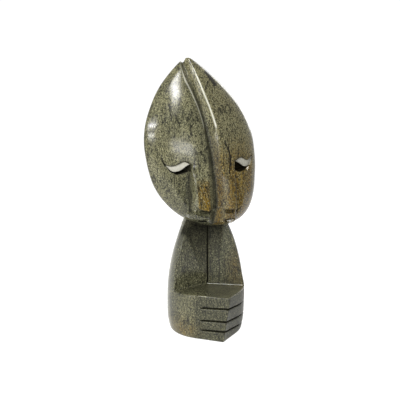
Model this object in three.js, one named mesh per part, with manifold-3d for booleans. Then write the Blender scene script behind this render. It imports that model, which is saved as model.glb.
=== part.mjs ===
// A leaf-shaped head on a short body with one folded hand, carved from a single block of serpentine.
// Millimetres: X to the right, Y to the back, Z up. The origin is the centre of the foot, on the floor.
// The face looks along -Y. "Front" below is a distance towards the viewer, so front = -Y.

import * as THREE from "three";
import { mergeVertices } from "three/addons/utils/BufferGeometryUtils.js";
import Module from "manifold-3d";

const wasm = await Module();
wasm.setup();

// Head: a leaf-shaped lens that leans to the left
const CHIN_HEIGHT = 179; // floor to the lowest point of the chin
const HEAD_HEIGHT = 271; // chin to the blunt tip
const HEAD_HALF_WIDTH = 92; // midrib to rim at the widest
const FACE_DEPTH = 37; // rim to the highest of the forehead, before the nose
const BACK_DEPTH = 36; // rim to the back of the head
const RIM_FRONT = 8; // rim in front of the body's axis
const HEAD_LEAN = 0.142; // sideways run of the midrib for each millimetre of height
const CHIN_SIDE = 6.6; // chin to the right of the body's axis, before the sweep
const CHIN_SWEEP = 13.1; // further swing of the midrib to the right, at the chin
const CHIN_SWEEP_SHARE = 0.299; // share of the head over which that swing dies out
const TIP_SWEEP = 2; // swing to the left near the tip
const TIP_SWEEP_SHARES = [0.7, 0.86]; // shares of the head between which it comes in
const FOREHEAD_SHARE = 0.446; // height of the fullest face, as a share of the head
const OCCIPUT_SHARE = 0.41; // height of the fullest back of the head

// Face carving
const NOSE_PROUD = 27; // nose tips above the lens, at the most
const NOSE_SLOPE = 11; // how far the nose ridge comes forward from brow to tip
const NOSE_BRIDGE = 37; // front of the nose at the brow, above the rim
const NOSE_FLARE = 5.5; // narrowing of the left nose from brow to tip
const NOSE_UNDERCUT = 0.25; // rise of the nostril side for each millimetre inwards
const NOSE_DRAFT = 0.22; // sideways lean of the nose walls for each millimetre of depth
const LIP_PROUD = 17; // lips above the lens, at the most
const LIP_TURN = [-3, 7]; // sides between which the left lips turn into the right ones
const NOSTRIL = { left: 15.5, right: 32, low: 0.113, high: 0.135, floor: 39 }; // notch under the right nose
const CHAMFER = 0.35; // slope of the face beside the valley's left wall
const LIP_REACH = { left: 0.41, right: 0.385 }; // ends of the lips, as shares of the half width
const LIP_WITHIN = 0.8; // share of the chin's own width that the lips keep within
const VALLEY_ARM = 0.45; // sloping sides of the valley, as a share of the half width
const CHEEK_DROP = 23.5; // flat cheek above the rim, at the brow
const LID_STEP = 2.2; // rough eye surface below the brow edge
const LID_LEAN = 0.2; // how fast the eye surface falls back below the brow
const POCKET_DEPTH = 18; // shadow pocket below the eyelid
const CHEEK_TURN = 0.026; // fall of the cheek for each millimetre outwards
const MOUTH_HALF_WIDTH = 8.5;
const MOUTH_ARCH = 1.2;
const MOUTH_DEPTH = 8;
const LEFT_MOUTH = { side: -0.255, share: 0.066, high: 3 }; // side by half width, place by share of the head
const RIGHT_MOUTH = { side: 0.266, share: 0.059, high: 5 };

// Body and hand
const BODY_RADIUS = 64;
const SWELL_HEIGHT = 48; // height of the fullest section
const NECK_INTO_HEAD = 62; // how far the body's crown runs up, inside the head and behind it
const NECK_SETBACK = 11; // how far the crown stands behind the body's axis
const NECK_BEND = 30; // chin down to where the neck starts to lean back
const NECK_TOP = 0.78; // share of the neck's rise at which it has leaned back fully
const BODY_POWER = 2.1; // exponents of the body's profile from the swell to the crown
const CROWN_POWER = 0.9;
const FOOT_TAPER = 4.5; // body radius lost between the swell and the floor
const FOOT_TAPER_HEIGHT = 30;
const FOOT_ROUND = 2.5; // rounded edge round the underside
const HAND_PROUD = 14.5; // knuckle corner in front of the body's round
const CORNER_SIDE = 2; // knuckle corner to the right of the axis, on the floor
const CORNER_LEAN = 0.15;
const FINGER_FACE = THREE.MathUtils.degToRad(39); // direction that the fingers' face looks, from the front
const WRIST = THREE.MathUtils.degToRad(78); // direction of the side that the fingers run round to
const WRIST_ROUND = 14; // softness of the turn from the fingers' face to that side
const HAND_FADE = 26; // height above the forearm over which the hand's swell dies out
const LEDGE_HEIGHT = 75; // top of the forearm
const CREASE_SIDE = 2; // chest crease to the right of the axis
const CREASE_FRONT = 5; // chest crease in front of the axis
const CHEST_LEFT = 0.175; // forward run of the left chest plane for each millimetre
const CHEST_RIGHT = 0.55;
const CREASE_CUT_WIDTH = 1.8;
const CREASE_CUT_DEPTH = 2.5;
const CREASE_CUT_CLEAR = 2; // crease cut starts above the forearm
const GROOVE_HEIGHTS = [0.747, 0.46, 0.236]; // finger grooves, as shares of the forearm's height
const GROOVE_WIDTH = 3.6;
const GROOVE_DEPTH = 4.2;
const GROOVE_DROP = 0.16; // fall of a groove for each millimetre to the right of the corner
const GROOVE_START = -38; // left ends of the grooves, to the side of the axis
const GROOVE_FADE = 16; // length over which a groove deepens
const GROOVE_END = THREE.MathUtils.degToRad(94); // bearing of the right ends of the grooves

// Fineness of the faces
const LENS_SIDES = 52;
const LENS_RINGS_BELOW = 12;
const LENS_RINGS_ABOVE = 18;

const WIDEST_SHARE = 0.469; // height of the widest part, as a share of the head
const TIP_SHARE = 1.011; // the outline would close just above the blunt tip
const RIM_POWER = 1.8; // exponents of the leaf's section
const SWELL_POWER = 1.39;
const FAR = 90; // cutters end this far in front of the axis
const HAIR = 0.01; // edges shorter than this are closed up

// Height of a point that is given as a share of the head
const atHead = (share) => CHIN_HEIGHT + share * HEAD_HEIGHT;
const shareOf = (z) => (z - CHIN_HEIGHT) / HEAD_HEIGHT;
const clamp = THREE.MathUtils.clamp;

/** Smooth curve through a few points [x, y], as a function of x. */
function curveThrough(points) {
  const last = points.length - 1;
  const slope = (i) => {
    const a = points[Math.max(i - 1, 0)];
    const b = points[Math.min(i + 1, last)];
    return (b[1] - a[1]) / (b[0] - a[0]);
  };
  return (x) => {
    const v = clamp(x, points[0][0], points[last][0]);
    let i = 0;
    while (i < last - 1 && v > points[i + 1][0]) i += 1;
    const [x0, y0] = points[i];
    const [x1, y1] = points[i + 1];
    const h = x1 - x0;
    const t = (v - x0) / h;
    const rise = (2 * t - 3) * t * t + 1;
    return (
      rise * y0 + (1 - rise) * y1 + h * t * (1 - t) * ((1 - t) * slope(i) - t * slope(i + 1))
    );
  };
}

// Leaf outline and thickness, by height
const midribSweep = (share) =>
  CHIN_SWEEP * Math.max(1 - share / CHIN_SWEEP_SHARE, 0) ** 1.5 -
  TIP_SWEEP * THREE.MathUtils.smoothstep(share, ...TIP_SWEEP_SHARES);
const midrib = (z) => CHIN_SIDE - HEAD_LEAN * (z - CHIN_HEIGHT) + midribSweep(shareOf(z));

/** Fullness from 0 to 1 of the leaf at a height, with the widest place and the powers of its curve. */
function fullness(z, widest, above, below) {
  const share = shareOf(z);
  if (share > widest) {
    return (1 - clamp((share - widest) / (above.end - widest), 0, 1) ** above.power) ** above.root;
  }
  return (1 - clamp((widest - share) / widest, 0, 1) ** below.power) ** below.root;
}
const OUTLINE_ABOVE = { end: TIP_SHARE, power: 2, root: 0.93 };
const OUTLINE_BELOW = { power: 2.3, root: 0.4 };
const FACE_ABOVE = { end: TIP_SHARE + 0.008, power: 2.2, root: 0.9 };
const FACE_BELOW = { power: 5, root: 0.4 };
const halfWidth = (z) => HEAD_HALF_WIDTH * fullness(z, WIDEST_SHARE, OUTLINE_ABOVE, OUTLINE_BELOW);
const faceDepth = (z) => FACE_DEPTH * fullness(z, FOREHEAD_SHARE, FACE_ABOVE, FACE_BELOW);
const backDepth = (z) => BACK_DEPTH * fullness(z, OCCIPUT_SHARE, FACE_ABOVE, OUTLINE_BELOW);

/** Front of the plain lens at a place on the face. */
function lensFront(x, z) {
  const u = clamp(Math.abs(x - midrib(z)) / Math.max(halfWidth(z), 1), 0, 1);
  return RIM_FRONT + faceDepth(z) * (1 - u ** RIM_POWER) ** (1 / SWELL_POWER);
}

// Valley between the two halves of the face, by share of the head: side and front of its bed, steepness of
// its two slopes, and height of the left slope up to the chamfer
const valleySide = curveThrough([
  [-0.03, -0.03], [0.04, -0.02], [0.197, 0.026], [0.296, 0.002], [0.434, -0.043],
  [0.573, -0.113], [0.672, -0.172], [0.8, -0.28], [0.905, -0.373], [1, -0.44],
]);
const valleyFront = curveThrough([
  [-0.01, 0.6], [0.04, 0.757], [0.131, 0.919], [0.26, 0.895], [0.442, 0.81],
  [0.551, 0.72], [0.672, 0.59], [0.8, 0.37], [0.905, 0.11], [1, -0.22],
]);
const valleyLeft = curveThrough([
  [-0.01, 0.6], [0.04, 0.8], [0.131, 0.95], [0.26, 0.7], [0.37, 0.8], [0.442, 1.05],
  [0.551, 1.5], [0.672, 1.8], [0.8, 1.4], [0.905, 1.15], [1, 1.5],
]);
const valleyKnee = curveThrough([
  [0, 12], [0.3, 11], [0.38, 8], [0.44, 3.5], [0.5, 2.6],
  [0.6, 4.6], [0.71, 5.8], [0.8, 6.4], [0.9, 8], [1, 10],
]);
const valleyRight = curveThrough([
  [-0.01, 0.6], [0.04, 0.8], [0.131, 0.85], [0.26, 0.62], [0.37, 0.52],
  [0.442, 0.5], [0.551, 0.52], [0.672, 0.65], [0.8, 0.85], [0.905, 1], [1, 1.5],
]);

// Edges of the eyes, by the distance out from the nose wall: brow, foot of the lid, foot of the pocket
const EYE_WIDTH = { left: 46, right: 40.5 };
const POCKET_WIDTH = { left: 38.5, right: 34 };
const browEdge = {
  left: curveThrough([
    [0, 0.412], [0.05, 0.418], [0.19, 0.422], [0.3, 0.414], [0.4, 0.405], [0.53, 0.397],
    [0.644, 0.3935], [0.75, 0.396], [0.845, 0.403], [0.92, 0.416], [1, 0.438],
  ]),
  right: curveThrough([
    [0, 0.403], [0.1, 0.416], [0.22, 0.422], [0.37, 0.413], [0.52, 0.4],
    [0.67, 0.394], [0.81, 0.402], [0.91, 0.416], [1, 0.433],
  ]),
};
const lidEdge = {
  left: curveThrough([
    [0, 0.4165], [0.05, 0.412], [0.147, 0.3935], [0.276, 0.3745], [0.445, 0.3634], [0.55, 0.365],
    [0.644, 0.3728], [0.75, 0.387], [0.845, 0.402], [0.92, 0.414], [1, 0.438],
  ]),
  right: curveThrough([
    [0, 0.424], [0.07, 0.416], [0.14, 0.404], [0.22, 0.391], [0.35, 0.374], [0.5, 0.361],
    [0.6, 0.361], [0.7, 0.372], [0.81, 0.4], [0.9, 0.412], [1, 0.433],
  ]),
};
const pocketEdge = {
  left: curveThrough([
    [0, 0.355], [0.33, 0.346], [0.49, 0.347], [0.62, 0.356], [0.73, 0.37], [0.845, 0.4], [1, 0.434],
  ]),
  right: curveThrough([
    [0, 0.347], [0.2, 0.337], [0.4, 0.336], [0.6, 0.343], [0.74, 0.365], [0.84, 0.394], [1, 0.43],
  ]),
};
const NOSE_WALL = { left: 0.402, right: 0.364 }; // nose walls at the brow, as shares of the half width
const NOSE_TIP_SHARE = 0.131;
const NOSE_ROOT_SHARE = 0.405;
const CHEEK_FOOT_SHARE = 0.08;
const LID_MARGIN = 0.004; // the cheek stops this share of the head below the lid's edge
const BLEND = 0.5; // depth at which the noses and lips start inside the lens

const noseDrop = (z) => (NOSE_ROOT_SHARE - shareOf(z)) / (NOSE_ROOT_SHARE - NOSE_TIP_SHARE);
const noseRidge = (z) => RIM_FRONT + NOSE_BRIDGE + NOSE_SLOPE * noseDrop(z);

/** Front edge of a nose wall, as a distance from the axis. Only the left nose narrows downwards. */
function noseEdge(side, z) {
  const narrowing = side === "left" ? NOSE_FLARE * noseDrop(z) : 0;
  return NOSE_WALL[side] * HEAD_HALF_WIDTH - narrowing;
}

/** Front of the noses at a place: the straight ridge, held down to the lens at the brow. */
function noseFront(x, z) {
  const proud = (NOSE_PROUD + BLEND) * Math.max(noseDrop(z), 0);
  return Math.min(noseRidge(z), lensFront(x, z) - BLEND + proud);
}

// Front of the lips above the rim, by share of the head. On the right they run on from the nose.
const leftLip = curveThrough([
  [-0.01, 22], [0.004, 27], [0.027, 34], [0.052, 38], [0.0645, 37], [0.07, 38.5],
  [0.078, 41.3], [0.087, 42], [0.098, 39.8], [0.108, 36], [0.118, 33.5], [0.13, 33], [0.16, 33],
]);
const rightLip = curveThrough([
  [-0.01, 22], [0.004, 28], [0.018, 34], [0.045, 39.5], [0.06, 40.5], [0.077, 42.5],
  [0.096, 44], [0.122, 45], [0.14, 47], [0.16, 48],
]);
function lipFront(x, z) {
  const share = shareOf(z);
  const right = THREE.MathUtils.smoothstep(x, ...LIP_TURN);
  const proud = (LIP_PROUD + BLEND) * THREE.MathUtils.smoothstep(share, -0.01, 0.08);
  const profile = leftLip(share) + (rightLip(share) - leftLip(share)) * right;
  return Math.min(RIM_FRONT + profile, lensFront(x, z) - BLEND + proud);
}

// Body: a round that swells near the foot and closes inside the head
const crownHeight = CHIN_HEIGHT + NECK_INTO_HEAD;
function bodyRadius(z) {
  const share = clamp((z - SWELL_HEIGHT) / (crownHeight - SWELL_HEIGHT), 0, 1);
  const taper = FOOT_TAPER * clamp((FOOT_TAPER_HEIGHT - z) / FOOT_TAPER_HEIGHT, 0, 1) ** 2;
  return BODY_RADIUS * (1 - share ** BODY_POWER) ** CROWN_POWER - taper;
}
const neckSetback = (z) =>
  NECK_SETBACK *
  THREE.MathUtils.smoothstep(z, CHIN_HEIGHT - NECK_BEND, CHIN_HEIGHT + NECK_TOP * NECK_INTO_HEAD);
const cornerSide = (z) => CORNER_SIDE + CORNER_LEAN * Math.min(z, LEDGE_HEIGHT);
const cornerFront = BODY_RADIUS + HAND_PROUD;

/** Bearings from the front of the corner of the knuckles and of the line where the hand leaves the round. */
function handBearings(z) {
  const corner = Math.atan2(cornerSide(z), cornerFront);
  const reach = Math.hypot(cornerSide(z), cornerFront);
  const spread = Math.acos(clamp(bodyRadius(z) / reach, 0, 1));
  return { corner, leave: corner - spread };
}

/** Distance from the axis to the surface of the body and hand, on a bearing from the front. */
function bodyReach(bearing, z) {
  const round = bodyRadius(z);
  const { corner, leave } = handBearings(z);
  if (bearing <= leave || bearing >= WRIST) return round;
  const fade = THREE.MathUtils.smoothstep(LEDGE_HEIGHT + HAND_FADE - z, 0, HAND_FADE);
  if (bearing <= corner) return round + (round / Math.cos(bearing - leave) - round) * fade;
  const faceDistance = cornerSide(z) * Math.sin(FINGER_FACE) + cornerFront * Math.cos(FINGER_FACE);
  const face = faceDistance / Math.cos(bearing - FINGER_FACE);
  const side = round / Math.cos(bearing - WRIST);
  const h = clamp(0.5 + (0.5 * (side - face)) / WRIST_ROUND, 0, 1);
  const hand = side * (1 - h) + face * h - WRIST_ROUND * h * (1 - h);
  return round + Math.max(hand - round, 0) * fade;
}

/** Closed solid through rings of points [side, front, height] of equal count, capped flat at both ends. */
function loft(rings) {
  const count = rings[0].length;
  const positions = [];
  const index = [];
  const put = ([side, front, height]) => positions.push(side, -front, height);
  rings.forEach((ring) => ring.forEach(put));
  for (let r = 0; r < rings.length - 1; r += 1) {
    for (let i = 0; i < count; i += 1) {
      const a = r * count + i;
      const b = r * count + ((i + 1) % count);
      index.push(a, b, b + count, a, b + count, a + count);
    }
  }
  const cap = (ring, first, flip) => {
    const centre = positions.length / 3;
    put([0, 1, 2].map((k) => ring.reduce((sum, p) => sum + p[k], 0) / count));
    for (let i = 0; i < count; i += 1) {
      const a = first + i;
      const b = first + ((i + 1) % count);
      index.push(centre, ...(flip ? [b, a] : [a, b]));
    }
  };
  cap(rings[0], 0, true);
  cap(rings[rings.length - 1], (rings.length - 1) * count, false);
  const geometry = new THREE.BufferGeometry();
  geometry.setAttribute("position", new THREE.Float32BufferAttribute(positions, 3));
  geometry.setIndex(index);
  return toSolid(geometry);
}

/** Manifold solid of a closed geometry, turned inside out if its faces point in. */
function toSolid(geometry) {
  const bare = geometry.clone();
  bare.deleteAttribute("normal");
  bare.deleteAttribute("uv");
  const merged = mergeVertices(bare, 1e-4);
  const vertProperties = new Float32Array(merged.attributes.position.array);
  const triVerts = new Uint32Array(merged.index.array);
  if (signedVolume(vertProperties, triVerts) < 0) {
    for (let i = 0; i < triVerts.length; i += 3) {
      [triVerts[i + 1], triVerts[i + 2]] = [triVerts[i + 2], triVerts[i + 1]];
    }
  }
  return new wasm.Manifold(new wasm.Mesh({ numProp: 3, vertProperties, triVerts }));
}

function signedVolume(points, index) {
  const corner = (i) => new THREE.Vector3().fromArray(points, index[i] * 3);
  let sum = 0;
  for (let i = 0; i < index.length; i += 3) {
    sum += corner(i).dot(corner(i + 1).cross(corner(i + 2)));
  }
  return sum / 6;
}

/** Numbers from start to end, in equal steps. */
const steps = (start, end, count) =>
  Array.from({ length: count + 1 }, (_, i) => start + ((end - start) * i) / count);

/** Shares of the head at which it is sectioned, closer together where it closes at the chin. */
const sections = [
  ...steps(0, 0.97, LENS_RINGS_BELOW)
    .map((t) => WIDEST_SHARE * (1 - Math.sin((t * Math.PI) / 2)))
    .reverse(),
  ...steps(WIDEST_SHARE, 1, LENS_RINGS_ABOVE).slice(1),
];

const makeLens = () => loft(sections.map(lensRing));

function lensRing(share) {
  const z = atHead(share);
  return steps(0, 2 * Math.PI, LENS_SIDES)
    .slice(0, -1)
    .map((angle) => {
      const c = Math.cos(angle);
      const s = Math.sin(angle);
      const across = Math.sign(c) * Math.abs(c) ** (2 / RIM_POWER);
      const out = Math.sign(s) * Math.abs(s) ** (2 / SWELL_POWER);
      const depth = s > 0 ? faceDepth(z) : backDepth(z);
      return [midrib(z) + halfWidth(z) * across, RIM_FRONT + depth * out, z];
    });
}

/** Patch that stands on the face: rings up the head, each across the front from the left to the right. */
function facePatch(shares, leftAt, rightAt, front, undercut) {
  const root = RIM_FRONT;
  return loft(
    shares.map((share, row) => {
      const z = atHead(share);
      const left = leftAt(z);
      const right = rightAt(z);
      const across = steps(left, right, 8).map((x) => [x, front(x, z), z]);
      const wallLeft = [left - NOSE_DRAFT * (front(left, z) - root), root, z];
      const wallRight = [right + NOSE_DRAFT * (front(right, z) - root), root, z];
      const lift = row === 0 ? undercut : 0;
      return [wallLeft, ...across, wallRight].map(([x, f, h]) => [x, f, h + lift * (noseRidge(z) - f)]);
    }),
  );
}

const NOSE_RINGS = [NOSE_TIP_SHARE, 0.17, 0.22, 0.28, 0.34, NOSE_ROOT_SHARE, 0.45];
const makeNoses = () =>
  facePatch(
    NOSE_RINGS,
    (z) => -noseEdge("left", z),
    (z) => noseEdge("right", z),
    noseFront,
    NOSE_UNDERCUT,
  );

const makeLips = () =>
  facePatch(
    [0.004, 0.018, 0.035, 0.052, 0.066, 0.078, 0.089, 0.099, 0.108, 0.12, 0.135, 0.16],
    (z) => Math.max(-LIP_REACH.left * HEAD_HALF_WIDTH, midrib(z) - LIP_WITHIN * halfWidth(z)),
    (z) => Math.min(LIP_REACH.right * HEAD_HALF_WIDTH, midrib(z) + LIP_WITHIN * halfWidth(z)),
    lipFront,
    0,
  );

function cutValley() {
  const arm = VALLEY_ARM * HEAD_HALF_WIDTH;
  return loft(
    [-0.03, ...sections, 1.02].map((share) => {
      const z = atHead(share);
      const x = valleySide(share) * HEAD_HALF_WIDTH;
      const bed = RIM_FRONT + valleyFront(share) * FACE_DEPTH;
      const soft = 0.5 + 1.5 * THREE.MathUtils.smoothstep(0.8 - share, 0, 0.4);
      const knee = valleyKnee(share);
      const kneeSide = -Math.min(soft + knee / (valleyLeft(share) - CHAMFER), 0.9 * arm);
      const rise = (dx) => {
        const run = Math.hypot(dx, soft) - soft;
        return dx > 0 ? valleyRight(share) * run : Math.min(valleyLeft(share) * run, knee + CHAMFER * run);
      };
      const at = (dx) => [x + dx, bed + rise(dx), z];
      const bottom = [at(-arm), at(kneeSide), at(kneeSide / 2), at(0), at(2 * soft), at(arm)];
      return [...bottom, [x + arm, FAR, z], [x - arm, FAR, z]];
    }),
  );
}

/** Cutter beside a nose wall: rings outwards, each between two edges and from its floor to the front. */
function cutFromWall(side, width, low, high, floor) {
  const sign = side === "left" ? -1 : 1;
  const wall = NOSE_WALL[side] * HEAD_HALF_WIDTH;
  const ring = (out) => {
    const share = out / EYE_WIDTH[side];
    const bottom = atHead(low(share));
    const top = Math.max(atHead(high(share)), bottom + 0.2);
    const corner = (f, z) => {
      const foot = noseEdge(side, z) + NOSE_DRAFT * (noseRidge(z) - f);
      return [sign * (wall + out + (foot - wall) * (1 - out / width)), f, z];
    };
    const x = sign * (wall + out);
    return [
      corner(floor(x, bottom, out), bottom),
      corner(floor(x, top, out), top),
      corner(FAR, top),
      corner(FAR, bottom),
    ];
  };
  return loft(steps(0, width, 16).map(ring));
}

const cheekTop = (side) => (share) => lidEdge[side](share) - LID_MARGIN;

function cutCheek(side) {
  const floor = (x, z, out) => RIM_FRONT + CHEEK_DROP - CHEEK_TURN * out;
  return cutFromWall(side, EYE_WIDTH[side], () => CHEEK_FOOT_SHARE, cheekTop(side), floor);
}

function cutLid(side) {
  const below = (z, out) => atHead(browEdge[side](out / EYE_WIDTH[side])) - z;
  const floor = (x, z, out) => lensFront(x, z) - LID_STEP - LID_LEAN * below(z, out);
  return cutFromWall(side, EYE_WIDTH[side], cheekTop(side), browEdge[side], floor);
}

function cutPocket(side) {
  const floor = (x, z) => lensFront(x, z) - POCKET_DEPTH;
  return cutFromWall(side, POCKET_WIDTH[side], pocketEdge[side], lidEdge[side], floor);
}

/** Mouth slit, arched a little, that closes to a point at both ends. */
function cutMouth({ side, share, high }) {
  return loft(
    steps(-1, 1, 8).map((t) => {
      const x = side * HEAD_HALF_WIDTH + t * MOUTH_HALF_WIDTH;
      const z = atHead(share) + MOUTH_ARCH * (1 - t * t);
      const floor = RIM_FRONT + FACE_DEPTH - MOUTH_DEPTH + 1;
      const half = 0.15 + (high / 2) * Math.sqrt(1 - t ** 4);
      return [[x, floor, z - half], [x, floor, z + half], [x, FAR, z + half], [x, FAR, z - half]];
    }),
  );
}

function cutNostril() {
  const { left, right, low, high, floor } = NOSTRIL;
  const back = RIM_FRONT + floor;
  const outline = [[left, back], [right, back], [right, FAR], [left, FAR]];
  return loft([low, high].map((share) => outline.map(([x, f]) => [x, f, atHead(share)])));
}

/** Bearings round the body, with corners exactly on the knuckle line and where the hand leaves the round. */
function bodyBearings(z) {
  const { corner, leave } = handBearings(Math.min(z, LEDGE_HEIGHT));
  return [
    ...steps(leave, corner, 3),
    ...steps(corner, WRIST, 9).slice(1),
    ...steps(WRIST, 2 * Math.PI + leave, 26).slice(1, -1),
  ];
}

function makeBody() {
  const heights = [
    ...[0, 0.3, 1].map((t) => t * FOOT_ROUND),
    ...steps(FOOT_ROUND, LEDGE_HEIGHT, 6).slice(1),
    ...steps(LEDGE_HEIGHT, crownHeight - 2, 13).slice(1),
  ];
  const edge = (z) => FOOT_ROUND * (1 - Math.sqrt(1 - clamp(1 - z / FOOT_ROUND, 0, 1) ** 2));
  return loft(
    heights.map((z) =>
      bodyBearings(z).map((bearing) => {
        const reach = bodyReach(bearing, z) - edge(z);
        return [reach * Math.sin(bearing), reach * Math.cos(bearing) - neckSetback(z), z];
      }),
    ),
  );
}

/** Everything in front of the two chest planes, from the forearm up. */
function cutChest() {
  const reach = 2 * BODY_RADIUS;
  const outline = [
    [CREASE_SIDE, CREASE_FRONT],
    [CREASE_SIDE + reach, CREASE_FRONT + CHEST_RIGHT * reach],
    [CREASE_SIDE + reach, 2 * reach],
    [CREASE_SIDE - reach, 2 * reach],
    [CREASE_SIDE - reach, CREASE_FRONT + CHEST_LEFT * reach],
  ];
  return loft([LEDGE_HEIGHT, crownHeight + 1].map((z) => outline.map(([x, f]) => [x, f, z])));
}

function cutCrease() {
  const foot = LEDGE_HEIGHT + CREASE_CUT_CLEAR;
  const height = CHIN_HEIGHT - foot;
  const box = new THREE.BoxGeometry(CREASE_CUT_WIDTH, 2 * CREASE_CUT_DEPTH, height);
  box.translate(CREASE_SIDE, -CREASE_FRONT, foot + height / 2);
  return toSolid(box);
}

/** Groove between two fingers: a V that runs round the knuckle corner and fades out on the left. */
function cutGroove(share) {
  const middle = share * LEDGE_HEIGHT;
  const { corner } = handBearings(middle);
  const start = Math.atan2(GROOVE_START, bodyRadius(middle));
  const bearings = [...steps(start, corner, 9), ...steps(corner, GROOVE_END, 12).slice(1)];
  return loft(
    bearings.map((bearing) => {
      const skin = bodyReach(bearing, middle);
      const side = skin * Math.sin(bearing);
      const z = middle - GROOVE_DROP * Math.max(side - cornerSide(middle), 0);
      const strength = THREE.MathUtils.smoothstep(side - GROOVE_START, 0, GROOVE_FADE);
      const half = 0.1 + (GROOVE_WIDTH / 2) * strength;
      const at = (reach, height) => [reach * Math.sin(bearing), reach * Math.cos(bearing), height];
      const deep = skin + 0.5 - (GROOVE_DEPTH + 0.5) * strength;
      return [at(deep, z), at(skin + 1, z + half), at(skin + 1, z - half)];
    }),
  );
}

function makeSculpture() {
  let head = makeLens().add(makeNoses()).add(makeLips()).subtract(cutValley());
  ["left", "right"].forEach((side) => {
    head = head.subtract(cutCheek(side)).subtract(cutLid(side)).subtract(cutPocket(side));
  });
  head = head.subtract(cutMouth(LEFT_MOUTH)).subtract(cutMouth(RIGHT_MOUTH)).subtract(cutNostril());
  let body = makeBody().subtract(cutChest()).subtract(cutCrease());
  GROOVE_HEIGHTS.forEach((share) => {
    body = body.subtract(cutGroove(share));
  });
  return body.add(head);
}

/** Triangles of a cut solid, with the ends of every edge shorter than a hair joined into one. */
function withoutSlivers(points, index) {
  const shown = Array.from({ length: points.length / 3 }, (_, i) => i);
  const find = (i) => (shown[i] === i ? i : find(shown[i]));
  const place = (i) => new THREE.Vector3().fromArray(points, 3 * i);
  const kept = [];
  for (let i = 0; i < index.length; i += 1) {
    const a = index[i];
    const b = index[i % 3 === 2 ? i - 2 : i + 1];
    if (place(a).distanceTo(place(b)) < HAIR) shown[find(b)] = find(a);
  }
  for (let i = 0; i < index.length; i += 3) {
    const [a, b, c] = [0, 1, 2].map((k) => find(index[i + k]));
    if (a !== b && b !== c && c !== a) kept.push(a, b, c);
  }
  return kept;
}

/** Named mesh of a solid. */
function toMesh(name, solid, material) {
  const { vertProperties, triVerts } = solid.getMesh();
  const geometry = new THREE.BufferGeometry();
  geometry.setAttribute("position", new THREE.Float32BufferAttribute(vertProperties, 3));
  geometry.setIndex(withoutSlivers(vertProperties, triVerts));
  const mesh = new THREE.Mesh(geometry, material);
  mesh.name = name;
  return mesh;
}

const polishedSerpentine = new THREE.MeshStandardMaterial({
  color: 0x6f6c53,
  roughness: 0.25,
  metalness: 0,
});

const group = new THREE.Group();
group.add(toMesh("head_and_body", makeSculpture(), polishedSerpentine));

export default group;
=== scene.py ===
"""Studio scene of a leaf-shaped serpentine head on a short body with one folded hand.

The stone is one solid. Its carved surface is written as a signed distance in millimetres, meshed finely in
the box of the CAD node that it replaces, and dressed in a procedural polished stone.
"""

import logging
import math
from dataclasses import dataclass
from enum import Enum

import bpy
import numpy as np
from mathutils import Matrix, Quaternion, Vector


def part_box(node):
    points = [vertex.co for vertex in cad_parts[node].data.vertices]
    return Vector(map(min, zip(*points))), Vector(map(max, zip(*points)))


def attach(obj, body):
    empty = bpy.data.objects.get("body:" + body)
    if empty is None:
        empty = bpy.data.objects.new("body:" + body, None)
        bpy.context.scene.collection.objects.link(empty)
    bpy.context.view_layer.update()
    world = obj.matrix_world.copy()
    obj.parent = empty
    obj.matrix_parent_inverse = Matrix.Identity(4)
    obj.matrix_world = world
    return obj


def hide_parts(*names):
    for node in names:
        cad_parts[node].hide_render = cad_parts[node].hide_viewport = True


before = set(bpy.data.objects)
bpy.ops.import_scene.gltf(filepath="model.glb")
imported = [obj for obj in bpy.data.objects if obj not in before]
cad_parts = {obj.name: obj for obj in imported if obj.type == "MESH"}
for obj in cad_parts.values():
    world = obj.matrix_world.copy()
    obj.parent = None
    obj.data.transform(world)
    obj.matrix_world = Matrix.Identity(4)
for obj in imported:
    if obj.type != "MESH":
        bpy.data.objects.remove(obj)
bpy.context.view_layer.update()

log = logging.getLogger("serpentine_head")

MM = 0.001
NODE = "head_and_body"

Field = np.ndarray
Point = tuple[float, float, float]


# Forms: every function takes x, front and height in millimetres and is negative inside the stone


def soft_min(a: Field, b: Field, k: Field | float) -> Field:
    """Joins two distances with a fillet of width k."""
    h = np.clip(0.5 + 0.5 * (b - a) / k, 0, 1)
    return b * (1 - h) + a * h - k * h * (1 - h)


def soft_max(a: Field, b: Field, k: Field | float) -> Field:
    """Gives the distance to what two forms share, with edges that are rounded by width k."""
    return -soft_min(-a, -b, k)


def ramp(t: Field | float) -> Field:
    """Goes smoothly from 0 to 1 while t does, and stays there."""
    t = np.clip(t, 0, 1)
    return t * t * (3 - 2 * t)


class Curve:
    """A smooth curve through a few points."""

    def __init__(self, *points: tuple[float, float]) -> None:
        """Fits the curve.

        Args:
            points: Pairs of position and value, in order.
        """
        x, y = np.array(points, float).T
        slope = np.gradient(y, x)
        self.at = np.linspace(x[0], x[-1], 400)
        i = np.clip(np.searchsorted(x, self.at) - 1, 0, len(x) - 2)
        h = x[i + 1] - x[i]
        t = (self.at - x[i]) / h
        rise = (2 * t - 3) * t * t + 1
        bend = h * t * (1 - t) * ((1 - t) * slope[i] - t * slope[i + 1])
        self.values = rise * y[i] + (1 - rise) * y[i + 1] + bend

    def __call__(self, position: Field) -> Field:
        """Gives the value at a position."""
        return np.interp(position, self.at, self.values)


@dataclass(frozen=True)
class Sizes:
    """Sizes of the carving in millimetres, the same as in the CAD source."""

    chin: float = 179.0
    head_height: float = 271.0
    half_width: float = 92.0
    face_depth: float = 37.0
    back_depth: float = 36.0
    rim: float = 8.0
    body_radius: float = 64.0
    swell: float = 48.0
    crown: float = 241.0
    hand_proud: float = 14.5
    ledge: float = 75.0


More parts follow.
